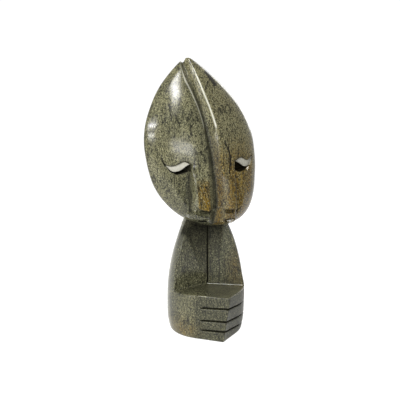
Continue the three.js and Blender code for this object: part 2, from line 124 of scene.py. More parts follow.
@dataclass(frozen=True)
class Profile:
    """How full the leaf is over its height: a power and a root above its fullest place, and below it."""

    widest: float
    end: float
    power_above: float
    root_above: float
    power_below: float
    root_below: float

    def at(self, t: Field) -> Field:
        """Gives the fullness, from 0 to 1, at a share of the head.

        Args:
            t: Height as a share of the head.

        Returns:
            The fullness, from 0 to 1, at a share of the head.
        """
        up = np.clip((t - self.widest) / (self.end - self.widest), 0, 0.9999)
        down = np.clip((self.widest - t) / self.widest, 0, 0.9999)
        above = (1 - up**self.power_above) ** self.root_above
        return np.where(t > self.widest, above, (1 - down**self.power_below) ** self.root_below)


@dataclass(frozen=True)
class Leaf:
    """The head's plain lens, before it is carved."""

    s: Sizes
    width_profile: Profile = Profile(0.469, 1.011, 2.0, 0.93, 2.3, 0.4)
    face_profile: Profile = Profile(0.446, 1.019, 2.2, 0.9, 5.0, 0.4)
    back_profile: Profile = Profile(0.41, 1.019, 2.2, 0.9, 2.3, 0.4)
    middle_at_chin: float = 6.6
    lean: float = 0.142
    chin_sweep: float = 13.1
    sweep_end: float = 0.299
    tip_sweep: float = 2.0
    across_power: float = 1.8
    depth_power: float = 1.39

    def share(self, z: Field) -> Field:
        """Gives a height as a share of the head."""
        return (z - self.s.chin) / self.s.head_height

    def midrib(self, z: Field) -> Field:
        """Gives the middle of the leaf at a height.

        Args:
            z: Height.

        Returns:
            The middle of the leaf at a height.
        """
        t = self.share(z)
        sweep = self.chin_sweep * np.clip(1 - t / self.sweep_end, 0, None) ** 1.5
        sweep = sweep - self.tip_sweep * ramp((t - 0.7) / 0.16)
        return self.middle_at_chin - self.lean * (z - self.s.chin) + sweep

    def half_width(self, z: Field) -> Field:
        """Gives the midrib's distance from the rim at a height."""
        return self.s.half_width * self.width_profile.at(self.share(z))

    def face_depth(self, z: Field) -> Field:
        """Gives the depth of the face in front of the rim."""
        return self.s.face_depth * self.face_profile.at(self.share(z))

    def back_depth(self, z: Field) -> Field:
        """Gives the depth of the back behind the rim."""
        return self.s.back_depth * self.back_profile.at(self.share(z))

    def front(self, x: Field, z: Field) -> Field:
        """Gives the front of the plain lens at a place on the face."""
        u = np.clip(np.abs(x - self.midrib(z)) / np.maximum(self.half_width(z), 1.0), 0, 1)
        return self.s.rim + self.face_depth(z) * (1 - u**self.across_power) ** 0.72

    def level(self, x: Field, f: Field, z: Field) -> Field:
        """Gives the lens equation, which is 0 on the surface.

        Args:
            x: Distance across, to the right.
            f: Distance to the front.
            z: Height.

        Returns:
            The lens equation, which is 0 on the surface.
        """
        u = np.abs(x - self.midrib(z)) / np.maximum(self.half_width(z), 1.0)
        d = f - self.s.rim
        depth = np.where(d > 0, self.face_depth(z), self.back_depth(z))
        return u**self.across_power + (np.abs(d) / np.maximum(depth, 0.8)) ** self.depth_power - 1

    def distance(self, x: Field, f: Field, z: Field) -> Field:
        """Gives the distance to the lens, cut blunt at the tip.

        Args:
            x: Distance across, to the right.
            f: Distance to the front.
            z: Height.

        Returns:
            The distance to the lens, cut blunt at the tip.
        """
        e = 0.5
        gx = self.level(x + e, f, z) - self.level(x - e, f, z)
        gf = self.level(x, f + e, z) - self.level(x, f - e, z)
        gz = self.level(x, f, z + e) - self.level(x, f, z - e)
        d = self.level(x, f, z) * 2 * e / np.sqrt(gx * gx + gf * gf + gz * gz + 1e-6)
        top = z - (self.s.chin + self.s.head_height)
        return soft_max(soft_max(np.clip(d, -60, 60), top, 2.0), self.s.chin - z, 1.5)


TO_WINDOW = (-0.392, 0.821, 0.415)


@dataclass(frozen=True)
class Scoop:
    """A small polished scoop whose floor faces the window: its middle, half width, half height and depth."""

    x: float
    front: float
    z: float
    wide: float
    half: float
    deep: float

    def opening(self, x: Field, z: Field) -> Field:
        """Gives the distance to its outline in front view."""
        return (np.hypot((x - self.x) / self.wide, (z - self.z) / self.half) - 1) * self.half

    def distance(self, x: Field, f: Field, z: Field) -> Field:
        """Gives the distance to the air in it.

        Args:
            x: Distance across, to the right.
            f: Distance to the front.
            z: Height.

        Returns:
            The distance to the air in it.
        """
        nx, nf, nz = TO_WINDOW
        floor = self.front - self.deep - (nx * (x - self.x - self.wide) + nz * (z - self.z)) / nf
        return soft_max(self.opening(x, z), (floor - f) * nf, 0.5)


@dataclass(frozen=True)
class Eye:
    """One eye beside its nose wall.

    The wall and its narrowing place it. The curves are the heights of the brow, of the eyelid's lower edge
    and of the hollow below it, as shares of the head over the share of the eye's width.
    """

    side: int
    wall: float
    narrowing: float
    width: float
    pocket: float
    pale_end: float
    brow: Curve
    lid: Curve
    hollow: Curve


@dataclass(frozen=True)
class Face:
    """What is carved on the leaf: noses, lips, valley, cheeks and eyes."""

    leaf: Leaf
    left_lip: Curve = Curve(
        (-0.01, 22), (0.004, 27), (0.015, 31), (0.027, 34), (0.04, 36.5), (0.052, 38), (0.0645, 37),
        (0.075, 38.5), (0.086, 41.3), (0.097, 42), (0.108, 40), (0.118, 36), (0.128, 33.5), (0.14, 33),
        (0.16, 33),
    )
    right_lip: Curve = Curve(
        (-0.01, 22), (0.004, 28), (0.018, 34), (0.03, 37), (0.045, 39.5), (0.06, 40.5), (0.077, 42.5),
        (0.096, 44.5), (0.122, 47.5), (0.14, 48.5), (0.16, 47),
    )
    valley_side: Curve = Curve(
        (-0.03, -0.03), (0.04, -0.02), (0.197, 0.026), (0.296, 0.002), (0.434, -0.043),
        (0.573, -0.113), (0.672, -0.172), (0.8, -0.28), (0.905, -0.373), (1, -0.44),
    )
    valley_front: Curve = Curve(
        (-0.01, 0.6), (0.04, 0.757), (0.131, 0.919), (0.26, 0.895), (0.442, 0.81),
        (0.551, 0.71), (0.672, 0.56), (0.8, 0.335), (0.905, 0.09), (1, -0.22),
    )
    valley_left: Curve = Curve(
        (-0.01, 0.6), (0.04, 0.8), (0.131, 0.95), (0.26, 0.7), (0.37, 0.8), (0.442, 1.05),
        (0.551, 1.5), (0.672, 1.8), (0.8, 1.4), (0.905, 1.15), (1, 1.5),
    )
    valley_right: Curve = Curve(
        (-0.01, 0.6), (0.04, 0.8), (0.131, 0.85), (0.26, 0.62), (0.37, 0.52),
        (0.442, 0.5), (0.551, 0.56), (0.672, 0.82), (0.8, 1.05), (0.905, 1.15), (1, 1.5),
    )
    valley_knee: Curve = Curve(
        (0, 12), (0.3, 11), (0.38, 8), (0.44, 3.5), (0.5, 2.6), (0.6, 4.6), (0.71, 5.8), (0.8, 6.4),
        (0.9, 8), (1, 10),
    )
    chamfer: float = 0.35
    left_eye: Eye = Eye(
        side=-1,
        wall=0.402,
        narrowing=5.5,
        width=46.0,
        pocket=38.5,
        pale_end=0.84,
        brow=Curve(
            (0, 0.402), (0.094, 0.4099), (0.16, 0.4172), (0.241, 0.4227), (0.309, 0.4217), (0.382, 0.4154),
            (0.454, 0.4084), (0.542, 0.4013), (0.635, 0.3976), (0.743, 0.3984), (0.835, 0.4052),
            (0.89, 0.4128), (0.924, 0.4214), (0.946, 0.4308), (0.958, 0.4396), (1, 0.47),
        ),
        lid=Curve(
            (0, 0.412), (0.072, 0.4074), (0.138, 0.4007), (0.212, 0.3896), (0.333, 0.3728), (0.457, 0.3639),
            (0.576, 0.3619), (0.673, 0.3688), (0.77, 0.387), (0.817, 0.397), (0.89, 0.406),
            (0.924, 0.4144), (0.946, 0.423), (0.958, 0.4316), (1, 0.467),
        ),
        hollow=Curve(
            (0, 0.3645), (0.126, 0.3584), (0.289, 0.351), (0.481, 0.347), (0.59, 0.3548), (0.722, 0.3695),
            (0.8, 0.389), (0.84, 0.398), (0.89, 0.405), (0.924, 0.4134), (0.946, 0.422), (0.958, 0.4306),
            (1, 0.466),
        ),
    )
    right_eye: Eye = Eye(
        side=1,
        wall=0.364,
        narrowing=0.0,
        width=40.5,
        pocket=34.0,
        pale_end=0.975,
        brow=Curve(
            (0, 0.4), (0.126, 0.4075), (0.24, 0.4163), (0.394, 0.4175), (0.499, 0.4102),
            (0.603, 0.401), (0.777, 0.398), (0.893, 0.4114), (1, 0.4225),
        ),
        lid=Curve(
            (0, 0.412), (0.1, 0.402), (0.197, 0.3948), (0.353, 0.3817), (0.554, 0.3605),
            (0.773, 0.3592), (0.911, 0.3761), (0.963, 0.3974), (1, 0.42),
        ),
        hollow=Curve(
            (0, 0.35), (0.186, 0.3425), (0.338, 0.3327), (0.513, 0.3364), (0.677, 0.3458),
            (0.74, 0.354), (0.8, 0.3585), (0.911, 0.3751), (0.963, 0.396), (1, 0.419),
        ),
    )
    draft: float = 0.22
    brow_share: float = 0.405
    tip_share: float = 0.131
    slit_middle: tuple[float, float] = (-23.5, 196.0)
    scoops: tuple[Scoop, ...] = (
        Scoop(24.0, 48.5, 195.4, 8.5, 3.5, 2.3),
        Scoop(63.2, 26.0, 272.4, 3.6, 2.9, 0.2),
    )
    nostril_sides: tuple[float, float] = (15.0, 28.5)
    nostril_shares: tuple[float, float] = (0.11, 0.1335)

    @property
    def s(self) -> Sizes:
        """Gives the leaf's sizes."""
        return self.leaf.s

    @property
    def eyes(self) -> tuple[Eye, Eye]:
        """Gives the left and the right eye."""
        return self.left_eye, self.right_eye

    def drop(self, z: Field) -> Field:
        """Gives how far down the nose a height is, 0 at the brow and 1 at the tip."""
        return (self.brow_share - self.leaf.share(z)) / (self.brow_share - self.tip_share)

    def ridge(self, z: Field) -> Field:
        """Gives the front of the nose's straight ridge."""
        return self.s.rim + 37.0 + 11.0 * self.drop(z)

    def edge(self, eye: Eye, z: Field) -> Field:
        """Gives the front edge of a nose wall as a distance from the axis."""
        return eye.wall * self.s.half_width - eye.narrowing * np.clip(self.drop(z), -0.5, 1.2)

    def outside(self, eye: Eye, x: Field, f: Field, z: Field) -> Field:
        """Gives how far a place is out from a nose wall, which leans outwards with depth."""
        return eye.side * x - self.edge(eye, z) - self.draft * (self.ridge(z) - f)

    def noses(self, x: Field, f: Field, z: Field, plain: Field) -> Field:
        """Gives the distance to both noses as one block, which the valley parts later.

        Args:
            x: Distance across, to the right.
            f: Distance to the front.
            z: Height.
            plain: Front of the plain lens there.

        Returns:
            The distance to both noses as one block, which the valley parts later.
        """
        proud = 28.0 * np.clip(self.drop(z), 0, None)
        front = np.minimum(self.ridge(z), plain - 3.0 + proud)
        d = soft_max((f - front) * 0.985, self.outside(self.left_eye, x, f, z), 2.5)
        d = soft_max(d, self.outside(self.right_eye, x, f, z), 2.5)
        d = soft_max(d, self.tip(x, f, z) - z, 1.2)
        return np.maximum(d, np.maximum(self.s.rim - f, z - self.s.chin - 0.45 * self.s.head_height))

    def tip(self, x: Field, f: Field, z: Field) -> Field:
        """Gives the height at which the noses end, higher on the far left."""
        rise = 6.0 * np.clip((-12.0 - x) / 20.0, 0, 1.2)
        return self.height(self.tip_share) + rise + 0.25 * (self.ridge(z) - f)

    def right_side(self, x: Field) -> Field:
        """Gives 0 on the left half of the mouth and 1 on the right half."""
        return ramp((x + 3.0) / 10.0)

    def lip_front(self, x: Field, z: Field) -> Field:
        """Gives the front of the lips: a muzzle on the left, one face with the nose on the right.

        Args:
            x: Distance across, to the right.
            z: Height.

        Returns:
            The front of the lips.
        """
        t = self.leaf.share(z)
        left = self.left_lip(t)
        return self.s.rim + left + (self.right_lip(t) - left) * self.right_side(x)

    def nostril(self, x: Field, f: Field, z: Field) -> Field:
        """Gives the distance to the notch under the right nose.

        Args:
            x: Distance across, to the right.
            f: Distance to the front.
            z: Height.

        Returns:
            The distance to the notch under the right nose.
        """
        left, right = self.nostril_sides
        low, high = (self.height(share) for share in self.nostril_shares)
        d = np.maximum(np.maximum(left - x, x - right), np.maximum(low - z, z - high))
        return soft_max(d, self.s.rim + 40.5 - f, 1.0)

    def lips(self, x: Field, f: Field, z: Field, plain: Field, lens: Field) -> Field:
        """Gives the distance to the lips.

        Args:
            x: Distance across, to the right.
            f: Distance to the front.
            z: Height.
            plain: Front of the plain lens there.
            lens: Distance to the plain lens.

        Returns:
            The distance to the lips.
        """
        t = self.leaf.share(z)
        taper = 5.0 * ramp((t - 0.105) / 0.025)
        proud = 17.5 * ramp((t + 0.01) / 0.09) - 0.5
        front = np.minimum(self.lip_front(x, z), plain + proud)
        d = (f - front) * 0.9
        within = 0.8 * self.leaf.half_width(z)
        middle = self.leaf.midrib(z)
        left = np.maximum(-0.41 * self.s.half_width + taper, middle - within) - x
        right = x - np.minimum(0.385 * self.s.half_width - 0.4 * taper, middle + within)
        flare = 0.3 * (np.maximum(f, 34) - 44)
        d = soft_max(soft_max(d, left + flare, 4.0), right + flare, 4.0)
        d = soft_max(d, lens - proud, 1.5)
        nx, nf, nz = TO_WINDOW
        corner = nx * (x + 36.5) + nf * (f - 50.0) + nz * (z - 208.0) + 3.2
        d = soft_max(d, corner, 1.5)
        return np.maximum(d, np.maximum(self.s.rim - f, np.abs(t - 0.086) * self.s.head_height - 20.2))

    def valley(self, x: Field, f: Field, z: Field) -> Field:
        """Gives the distance to the valley, negative in the air of it.

        Args:
            x: Distance across, to the right.
            f: Distance to the front.
            z: Height.

        Returns:
            The distance to the valley.
        """
        t = self.leaf.share(z)
        soft = 0.5 + 1.5 * ramp((0.8 - t) / 0.4)
        side = x - self.valley_side(t) * self.s.half_width
        dx = np.sqrt(side * side + soft * soft) - soft
        left, right = self.valley_left(t), self.valley_right(t)
        bed = self.s.rim + self.valley_front(t) * self.s.face_depth
        wall = (bed + left * dx - f) / np.sqrt(1 + left * left)
        chamfer = (bed + self.valley_knee(t) + self.chamfer * dx - f) / math.sqrt(1 + self.chamfer**2)
        slope = (bed + right * dx - f) / np.sqrt(1 + right * right)
        return np.where(side < 0, soft_min(wall, chamfer, 1.2), slope)

    def crest_softness(self, x: Field, z: Field) -> Field:
        """Gives the rounding of the valley's edges, wide on the right near the tip.

        Args:
            x: Distance across, to the right.
            z: Height.

        Returns:
            The rounding of the valley's edges, wide on the right near the tip.
        """
        t = self.leaf.share(z)
        right = ramp((x - self.valley_side(t) * self.s.half_width) / 2.0)
        left = (1 - right) * 1.2 * ramp((t - 0.4) / 0.06)
        return 0.8 + left + right * (2.4 * ramp((t - 0.82) / 0.12) + 5.5 * ramp((0.64 - t) / 0.1))

    def out(self, eye: Eye, x: Field) -> Field:
        """Gives the distance out from the nose wall at the brow."""
        return eye.side * x - eye.wall * self.s.half_width

    def height(self, share: Field | float) -> Field | float:
        """Gives the height of a share of the head."""
        return self.s.chin + share * self.s.head_height

    def cheek(self, eye: Eye, x: Field, f: Field, z: Field) -> Field:
        """Gives the distance to what a flat cheek takes away.

        Args:
            eye: The eye on that side.
            x: Distance across, to the right.
            f: Distance to the front.
            z: Height.

        Returns:
            The distance to what a flat cheek takes away.
        """
        out = self.out(eye, x)
        plane = self.s.rim + 23.5 - 0.026 * out + 0.003 * (z - 290) - f
        d = soft_max(plane, z - self.height(eye.lid(out / eye.width)) + 1.0, 1.0)
        return soft_max(d, -self.outside(eye, x, f, z), 1.0)

    def lid(self, eye: Eye, x: Field, f: Field, z: Field, plain: Field) -> Field:
        """Gives the distance to what is taken away in front of an eyelid.

        Args:
            eye: The eye on that side.
            x: Distance across, to the right.
            f: Distance to the front.
            z: Height.
            plain: Front of the plain lens there.

        Returns:
            The distance to what is taken away in front of an eyelid.
        """
        out = self.out(eye, x)
        brow = self.height(eye.brow(out / eye.width))
        d = soft_max(plain - 2.2 - 0.2 * (brow - z) - f, z - brow, 0.5)
        d = np.maximum(d, self.height(eye.hollow(out / eye.width)) - z)
        d = np.maximum(d, out - eye.width)
        return soft_max(d, -self.outside(eye, x, f, z), 0.6)

    def pocket(self, eye: Eye, x: Field, f: Field, z: Field, plain: Field) -> Field:
        """Gives the distance to the shadow pocket below an eyelid.

        Args:
            eye: The eye on that side.
            x: Distance across, to the right.
            f: Distance to the front.
            z: Height.
            plain: Front of the plain lens there.

        Returns:
            The distance to the shadow pocket below an eyelid.
        """
        out = self.out(eye, x)
        d = soft_max(plain - 18.0 - f, z - self.height(eye.lid(out / eye.width)), 0.6)
        d = soft_max(d, self.height(eye.hollow(out / eye.width)) - z, 0.6)
        d = np.maximum(d, out - eye.pocket)
        return soft_max(d, -self.outside(eye, x, f, z), 1.0)

    def slit(self, x: Field, f: Field, z: Field) -> Field:
        """Gives the distance to the left mouth, a slit that is arched a little.

        Args:
            x: Distance across, to the right.
            f: Distance to the front.
            z: Height.

        Returns:
            The distance to the left mouth, a slit that is arched a little.
        """
        dx = (x - self.slit_middle[0]) / 9.0
        half = 1.8 * (1 - 0.6 * dx * dx)
        d = np.maximum(np.abs(z - self.slit_middle[1] - 1.0 + dx * dx) - half, (np.abs(dx) - 1) * 9.0)
        return np.maximum(d, self.lip_front(x, z) - 7.0 - f)

    def distance(self, x: Field, f: Field, z: Field) -> Field:
        """Gives the distance to the carved head.

        Args:
            x: Distance across, to the right.
            f: Distance to the front.
            z: Height.

        Returns:
            The distance to the carved head.
        """
        plain = self.leaf.front(x, z)
        lens = self.leaf.distance(x, f, z)
        d = soft_min(lens, self.noses(x, f, z, plain), 3.0)
        for eye in self.eyes:
            d = soft_max(d, -self.cheek(eye, x, f, z), 1.4)
        d = soft_min(d, self.lips(x, f, z, plain, lens), 1.6)
        d = soft_max(d, -self.valley(x, f, z), self.crest_softness(x, z))
        for eye in self.eyes:
            d = soft_max(d, -self.lid(eye, x, f, z, plain), 0.5)
            d = soft_max(d, -self.pocket(eye, x, f, z, plain), 0.8)
        d = soft_max(d, -self.slit(x, f, z), 0.6)
        for scoop in self.scoops:
            d = soft_max(d, -scoop.distance(x, f, z), 0.4)
        return soft_max(d, -self.nostril(x, f, z), 1.0)


@dataclass(frozen=True)
class Body:
    """The body with its chest hollow and the folded hand."""

    s: Sizes
    finger_face: float = math.radians(39.0)
    wrist: float = math.radians(78.0)
    grooves: tuple[float, ...] = (0.747, 0.46, 0.236)
    groove_start: float = -38.0
    groove_end: float = math.radians(94.0)
    groove_depth: float = 4.2
    crease_x: float = 2.0
    neck_setback: float = 11.0

    def radius(self, z: Field) -> Field:
        """Gives the radius of the round at a height.

        Args:
            z: Height.

        Returns:
            The radius of the round at a height.
        """
        t = np.clip((z - self.s.swell) / (self.s.crown - self.s.swell), 0, 0.9999)
        taper = 4.5 * np.clip(1 - z / 30.0, 0, 1) ** 2
        return self.s.body_radius * (1 - t**2.1) ** 0.9 - taper

    def setback(self, z: Field) -> Field:
        """Gives how far the neck stands behind the axis.

        Args:
            z: Height.

        Returns:
            How far the neck stands behind the axis.
        """
        start = self.s.chin - 30.0
        end = self.s.chin + 0.78 * (self.s.crown - self.s.chin)
        return self.neck_setback * ramp((z - start) / (end - start))

    def skin(self, x: Field, f: Field, z: Field) -> Field:
        """Gives the distance to the body with the hand's swell, before any cut.

        Args:
            x: Distance across, to the right.
            f: Distance to the front.
            z: Height.

        Returns:
            The distance to the body with the hand's swell, before any cut.
        """
        a = self.radius(z)
        e = 0.5
        slope = (self.radius(z - e) - self.radius(z + e)) / (2 * e)
        lean = 1 / np.sqrt(1 + np.clip(slope, -0.5, 4) ** 2)
        round_d = (np.hypot(x, f + self.setback(z)) - a) * lean
        cx = 2.0 + 0.15 * np.clip(z, 0, self.s.ledge)
        cf = self.s.body_radius + self.s.hand_proud
        leave = np.arctan2(cx, cf) - np.arccos(np.clip(a / np.hypot(cx, cf), 0, 1))
        sin, cos = np.sin(leave), np.cos(leave)
        left = x * sin + f * cos - a
        face = (x - cx) * math.sin(self.finger_face) + (f - cf) * math.cos(self.finger_face)
        side = x * math.sin(self.wrist) + f * math.cos(self.wrist) - a
        hand = soft_max(left, soft_max(face, side, 14.0), 1.5)
        hand = np.maximum(hand, f * sin - x * cos)
        hand = np.maximum(hand, x * math.cos(self.wrist) - f * math.sin(self.wrist))
        fade = ramp((self.s.ledge + 26.0 - z) / 26.0)
        d = round_d + (soft_min(round_d, hand, 1.5) - round_d) * fade
        return soft_max(np.maximum(d, z - self.s.crown + 2.0), -z, 3.0)

    def groove(self, share: float, x: Field, f: Field, z: Field, skin: Field) -> Field:
        """Gives the distance to a groove between two fingers.

        Args:
            share: Height of the groove as a share of the ledge's height.
            x: Distance across, to the right.
            f: Distance to the front.
            z: Height.
            skin: Distance to the body before any cut.

        Returns:
            The distance to a groove between two fingers.
        """
        middle = share * self.s.ledge
        corner = 2.0 + 0.15 * middle
        line = middle - 0.16 * np.clip(x - corner, 0, None)
        bearing = np.arctan2(x, f)
        strength = ramp((x - self.groove_start) / 16.0) * ramp((self.groove_end - bearing) / 0.12)
        depth = (self.groove_depth + 1.4) * strength - 1.4
        half = 0.25 + 0.42 * np.clip(skin + depth, 0, 5)
        d = np.maximum(np.abs(z - line) - half, -(skin + depth))
        return np.maximum(d, self.groove_start - x)

    def chest(self, x: Field, f: Field, z: Field) -> Field:
        """Gives the distance to the hollow above the forearm, negative in the air of it.

        Args:
            x: Distance across, to the right.
            f: Distance to the front.
            z: Height.

        Returns:
            The distance to the hollow above the forearm.
        """
        planes = np.maximum((5 - 0.175 * (x - 2) - f) / 1.015, (5 + 0.55 * (x - 2) - f) / 1.141)
        wave = 2.0 * np.exp(-(((x + 30) / 18.0) ** 2)) * np.clip(f / 40, 0, 1)
        return soft_max(planes, self.s.ledge + wave - z, 3.0)

    def crease(self, x: Field, f: Field, z: Field) -> Field:
        """Gives the distance to the line cut down the middle of the chest."""
        d = np.maximum(np.abs(x - self.crease_x) - 0.9, 2.5 - f)
        return np.maximum(np.maximum(d, f - 12), np.maximum(self.s.ledge + 2 - z, z - self.s.chin))

    def distance(self, x: Field, f: Field, z: Field) -> Field:
        """Gives the distance to the carved body.

        Args:
            x: Distance across, to the right.
            f: Distance to the front.
            z: Height.

        Returns:
            The distance to the carved body.
        """
        skin = self.skin(x, f, z)
        d = skin
        for share in self.grooves:
            d = soft_max(d, -self.groove(share, x, f, z, skin), 0.8)
        d = soft_max(d, -self.chest(x, f, z), 2.0)
        return soft_max(d, -self.crease(x, f, z), 0.8)


class Sculpture:
    """The whole stone: face and body joined by a fillet that is wider behind."""

    def __init__(self, sizes: Sizes) -> None:
        """Builds the forms from the sizes.

        Args:
            sizes: Sizes of the carving.
        """
        self.s = sizes
        self.leaf = Leaf(sizes)
        self.face = Face(self.leaf)
        self.body = Body(sizes)

    def distance(self, x: Field, f: Field, z: Field) -> Field:
        """Gives the distance to the stone."""
        joint = 2.0 + 12.0 * ramp((self.s.rim - 12.0 - f) / 16.0) * ramp((z - self.s.chin - 8.0) / 16.0)
        return soft_min(self.face.distance(x, f, z), self.body.distance(x, f, z), joint)


def strongest(*fields: Field) -> Field:
    """Gives the largest of some fields at each point."""
    return np.maximum.reduce(fields)


def fades(*limits: tuple[Field, float, float]) -> Field:
    """Bounds a patch smoothly, by fields with their values where it starts and where it is full."""
    return math.prod(ramp((field - start) / (full - start)) for field, start, full in limits)


class Place:
    """Points of the surface, with the measures that bound the tones."""

    def __init__(self, forms: Sculpture, points: Field) -> None:
        """Measures the points.

        Args:
            forms: The sculpture that they lie on.
            points: Rows of x, front and height.
        """
        sizes, face = forms.s, forms.face
        self.xfz = self.x, self.f, self.z = points.T
        self.above_chin = self.z - sizes.chin
        self.above_ledge = self.z - sizes.ledge
        self.share = forms.leaf.share(self.z)
        self.across = self.x - face.valley_side(self.share) * sizes.half_width
        self.sunk = forms.leaf.front(self.x, self.z) - self.f
        self.beside = face.outside(face.left_eye, *self.xfz)
        self.behind_nose = face.ridge(self.z) - self.f
        self.behind_lips = face.lip_front(self.x, self.z) - self.f
        self.under_tip = face.tip(*self.xfz) - self.z
        self.skin = forms.body.skin(*self.xfz)


@dataclass(frozen=True)
class Mark:
    """A dark line or patch in the stone, drawn on the side that looks to the front."""

    path: tuple[tuple[float, float], ...]
    width: float
    strength: float = 1.0
    wander: float = 1.2


class Tones:
    """Where the stone changes its tone, and where shade, shadow and highlights are painted into its colour:
    painted as smooth fields over the surface.
    """

    MARKS = (
        Mark(((17.5, 319.6), (23, 310), (26.5, 299.7), (27.3, 286.8), (23.6, 271.7)), 1.3),
        Mark(((-4.1, 427.5), (2.7, 416.9), (8, 409)), 3.4, 0.85, 0.6),
        Mark(((6.6, 357.5), (7.5, 368), (10, 373.8), (14, 366), (17.8, 376), (18.6, 367)), 0.9, 0.8),
        Mark(((18.6, 367), (24, 378), (27.9, 376.5), (30.1, 364.3), (33.6, 372.9)), 0.9, 0.75),
        Mark(((-68.5, 381.3), (-67.6, 368), (-67.2, 357.5)), 1.1, 0.7),
        Mark(((-39.6, 352.6), (-39.5, 343), (-38.7, 334.3)), 1.4, 0.85),
        Mark(((-53.5, 391.6), (-56, 372), (-59.2, 343.9)), 0.7, 0.5),
        Mark(((25.8, 135.9), (31.8, 115.4), (43.6, 91.6), (41, 78)), 0.9, 0.8),
        Mark(((48.6, 106), (47.5, 90), (46.5, 77)), 1.0, 0.7),
        Mark(((7.2, 85.5), (7.7, 82)), 1.8, 1.0, 0.4),
        Mark(((-16.1, 311), (-12, 315.1)), 1.6, 0.9, 0.6),
        Mark(((-24, 308.5), (-23, 306)), 1.5, 0.8, 0.4),
        Mark(((28, 393), (30.5, 389.5)), 1.4, 0.6, 0.4),
    )

    def __init__(self, forms: Sculpture) -> None:
        """Keeps the forms that it paints."""
        self.forms = forms

    def lids(self, p: Place) -> Field:
        """Gives where the eyelids are left rough and pale.

        Args:
            p: Points of the surface with their measures.

        Returns:
            The tone's share from 0 to 1.
        """
        face = self.forms.face
        found = np.zeros_like(p.x)
        for eye in face.eyes:
            out = face.out(eye, p.x) / eye.width
            over, under = face.height(eye.brow(out)) - p.z, p.z - face.height(eye.lid(out))
            inside = fades((over, 0, 0.9), (under, -0.7, 0.2), (p.sunk, 0.9, 1.7), (p.sunk, 17, 14))
            ends = fades((face.outside(eye, *p.xfz), -0.2, 1.0), (out, eye.pale_end, eye.pale_end - 0.03))
            found = np.maximum(found, inside * ends)
        return found

    def ochre(self, p: Place) -> Field:
        """Gives where the stone is ochre: low on the right of the face and on the left nose.

        Args:
            p: Points of the surface with their measures.

        Returns:
            The tone's share from 0 to 1.
        """
        face = fades((p.f, 2, 12), (p.above_chin, 0, 12))
        right = fades((p.across, 0, 5)) * (0.1 + 0.9 * fades((p.z, 345, 255)))
        nose = fades((p.x, -32.3, -30.9), (p.x, -10, -12), (p.z, 268, 258), (p.z, 212, 216), (p.f, 44, 47))
        stain = 0.8 * np.exp(-(((p.x - 52) / 10) ** 2) - ((p.z - 112) / 38) ** 2)
        foot = 0.7 * np.exp(-(((p.x + 50) / 16) ** 2) - ((p.z - 14) / 16) ** 2)
        body = fades((p.above_chin, -10, -30)) * (stain + foot)
        return np.clip(face * np.maximum(right, nose) + body, 0, 1)

    def green_and_painted_shade(self, p: Place) -> Field:
        """Gives where the colour is darker and greener: partly a greener stone, partly painted shade on the
        body under the head, the hand, the chin, the valley and the left cheek beside the nose.

        Args:
            p: Points of the surface with their measures.

        Returns:
            The tone's share from 0 to 1.
        """
        # painted shade where the head overhangs the chest
        chest = fades((p.above_chin, 4, -4), (p.above_ledge, -1, 1), (p.f, 40, 36))
        return strongest(
            chest * (0.6 + 0.4 * fades((p.f, -4, 2))),
            fades((p.above_ledge, 1, -1), (p.x, -46, -30), (p.f, 0, 12)),
            0.5 * fades((p.above_chin, 0, -6)),
            0.8 * fades((p.z, 216, 208), (p.above_chin, 7, 11), (p.x, 18, 0), (p.f, 10, 24)),
            0.3 * fades((p.across, 0, -6), (p.above_chin, 0, 10)),
            0.9 * fades((np.abs(p.across), 9, 1), (p.share, 0.9, 0.5), (p.f, 12, 22), (p.share, 0, 0.05)),
            fades((p.beside, 17, 4), (p.beside, -1, 1), (p.z, 285, 265), (p.z, 186, 198), (p.f, 12, 20)),
        )

    def painted_shadow(self, p: Place) -> Field:
        """Gives where painted shadow darkens the stone: in hollows, creases and grooves, below the chin and
        the nose tips, and as painted shade on the hand and the right nose.
        """
        body, eyes, valley = self.painted_shadow_of_body(p), self.painted_shadow_of_eyes(p), self.painted_shadow_of_valley(p)
        return strongest(body, eyes, valley, self.painted_shadow_of_noses(p), self.painted_shadow_of_mouths(p))

    def painted_shadow_of_body(self, p: Place) -> Field:
        """Gives the painted shadow in the chest's crease, below the chin, on the hand and in its grooves.

        Args:
            p: Points of the surface with their measures.

        Returns:
            The painted shadow in the chest's crease, below the chin, on the hand and in its grooves.
        """
        body = self.forms.body
        crease = fades((np.abs(p.x - body.crease_x), 1.9, 0.9), (p.f, 1, 2.5), (p.f, 12, 10))
        below_chin = fades((p.z, 196, 188), (p.f, 20, 16), (p.f, -4, 2))
        hand = fades((p.above_ledge, 2, -1), (p.f, 0, 12))
        found = strongest(
            crease * fades((p.above_ledge, 1, 3), (p.above_chin, 0, -4)),
            below_chin * (0.65 * fades((p.z, 160, 171)) + 0.25 * fades((p.z, 130, 160))),
            hand * (0.15 + 0.18 * fades((p.x, -46, -30))),
            0.42 * fades((p.above_ledge, 0, -2), (p.x, 8, 13), (p.skin, -3, -2)),
            0.3 * fades((p.above_ledge, 0, 4), (p.above_chin, 0, -6), (p.x, 2, 5), (p.f, 0, 12)),
        )
        for share in body.grooves:
            near = np.abs(body.groove(share, *p.xfz, p.skin))
            found = np.maximum(found, fades((near, 1.6, 0.6), (p.skin, -0.5, -2.1)))
        return found

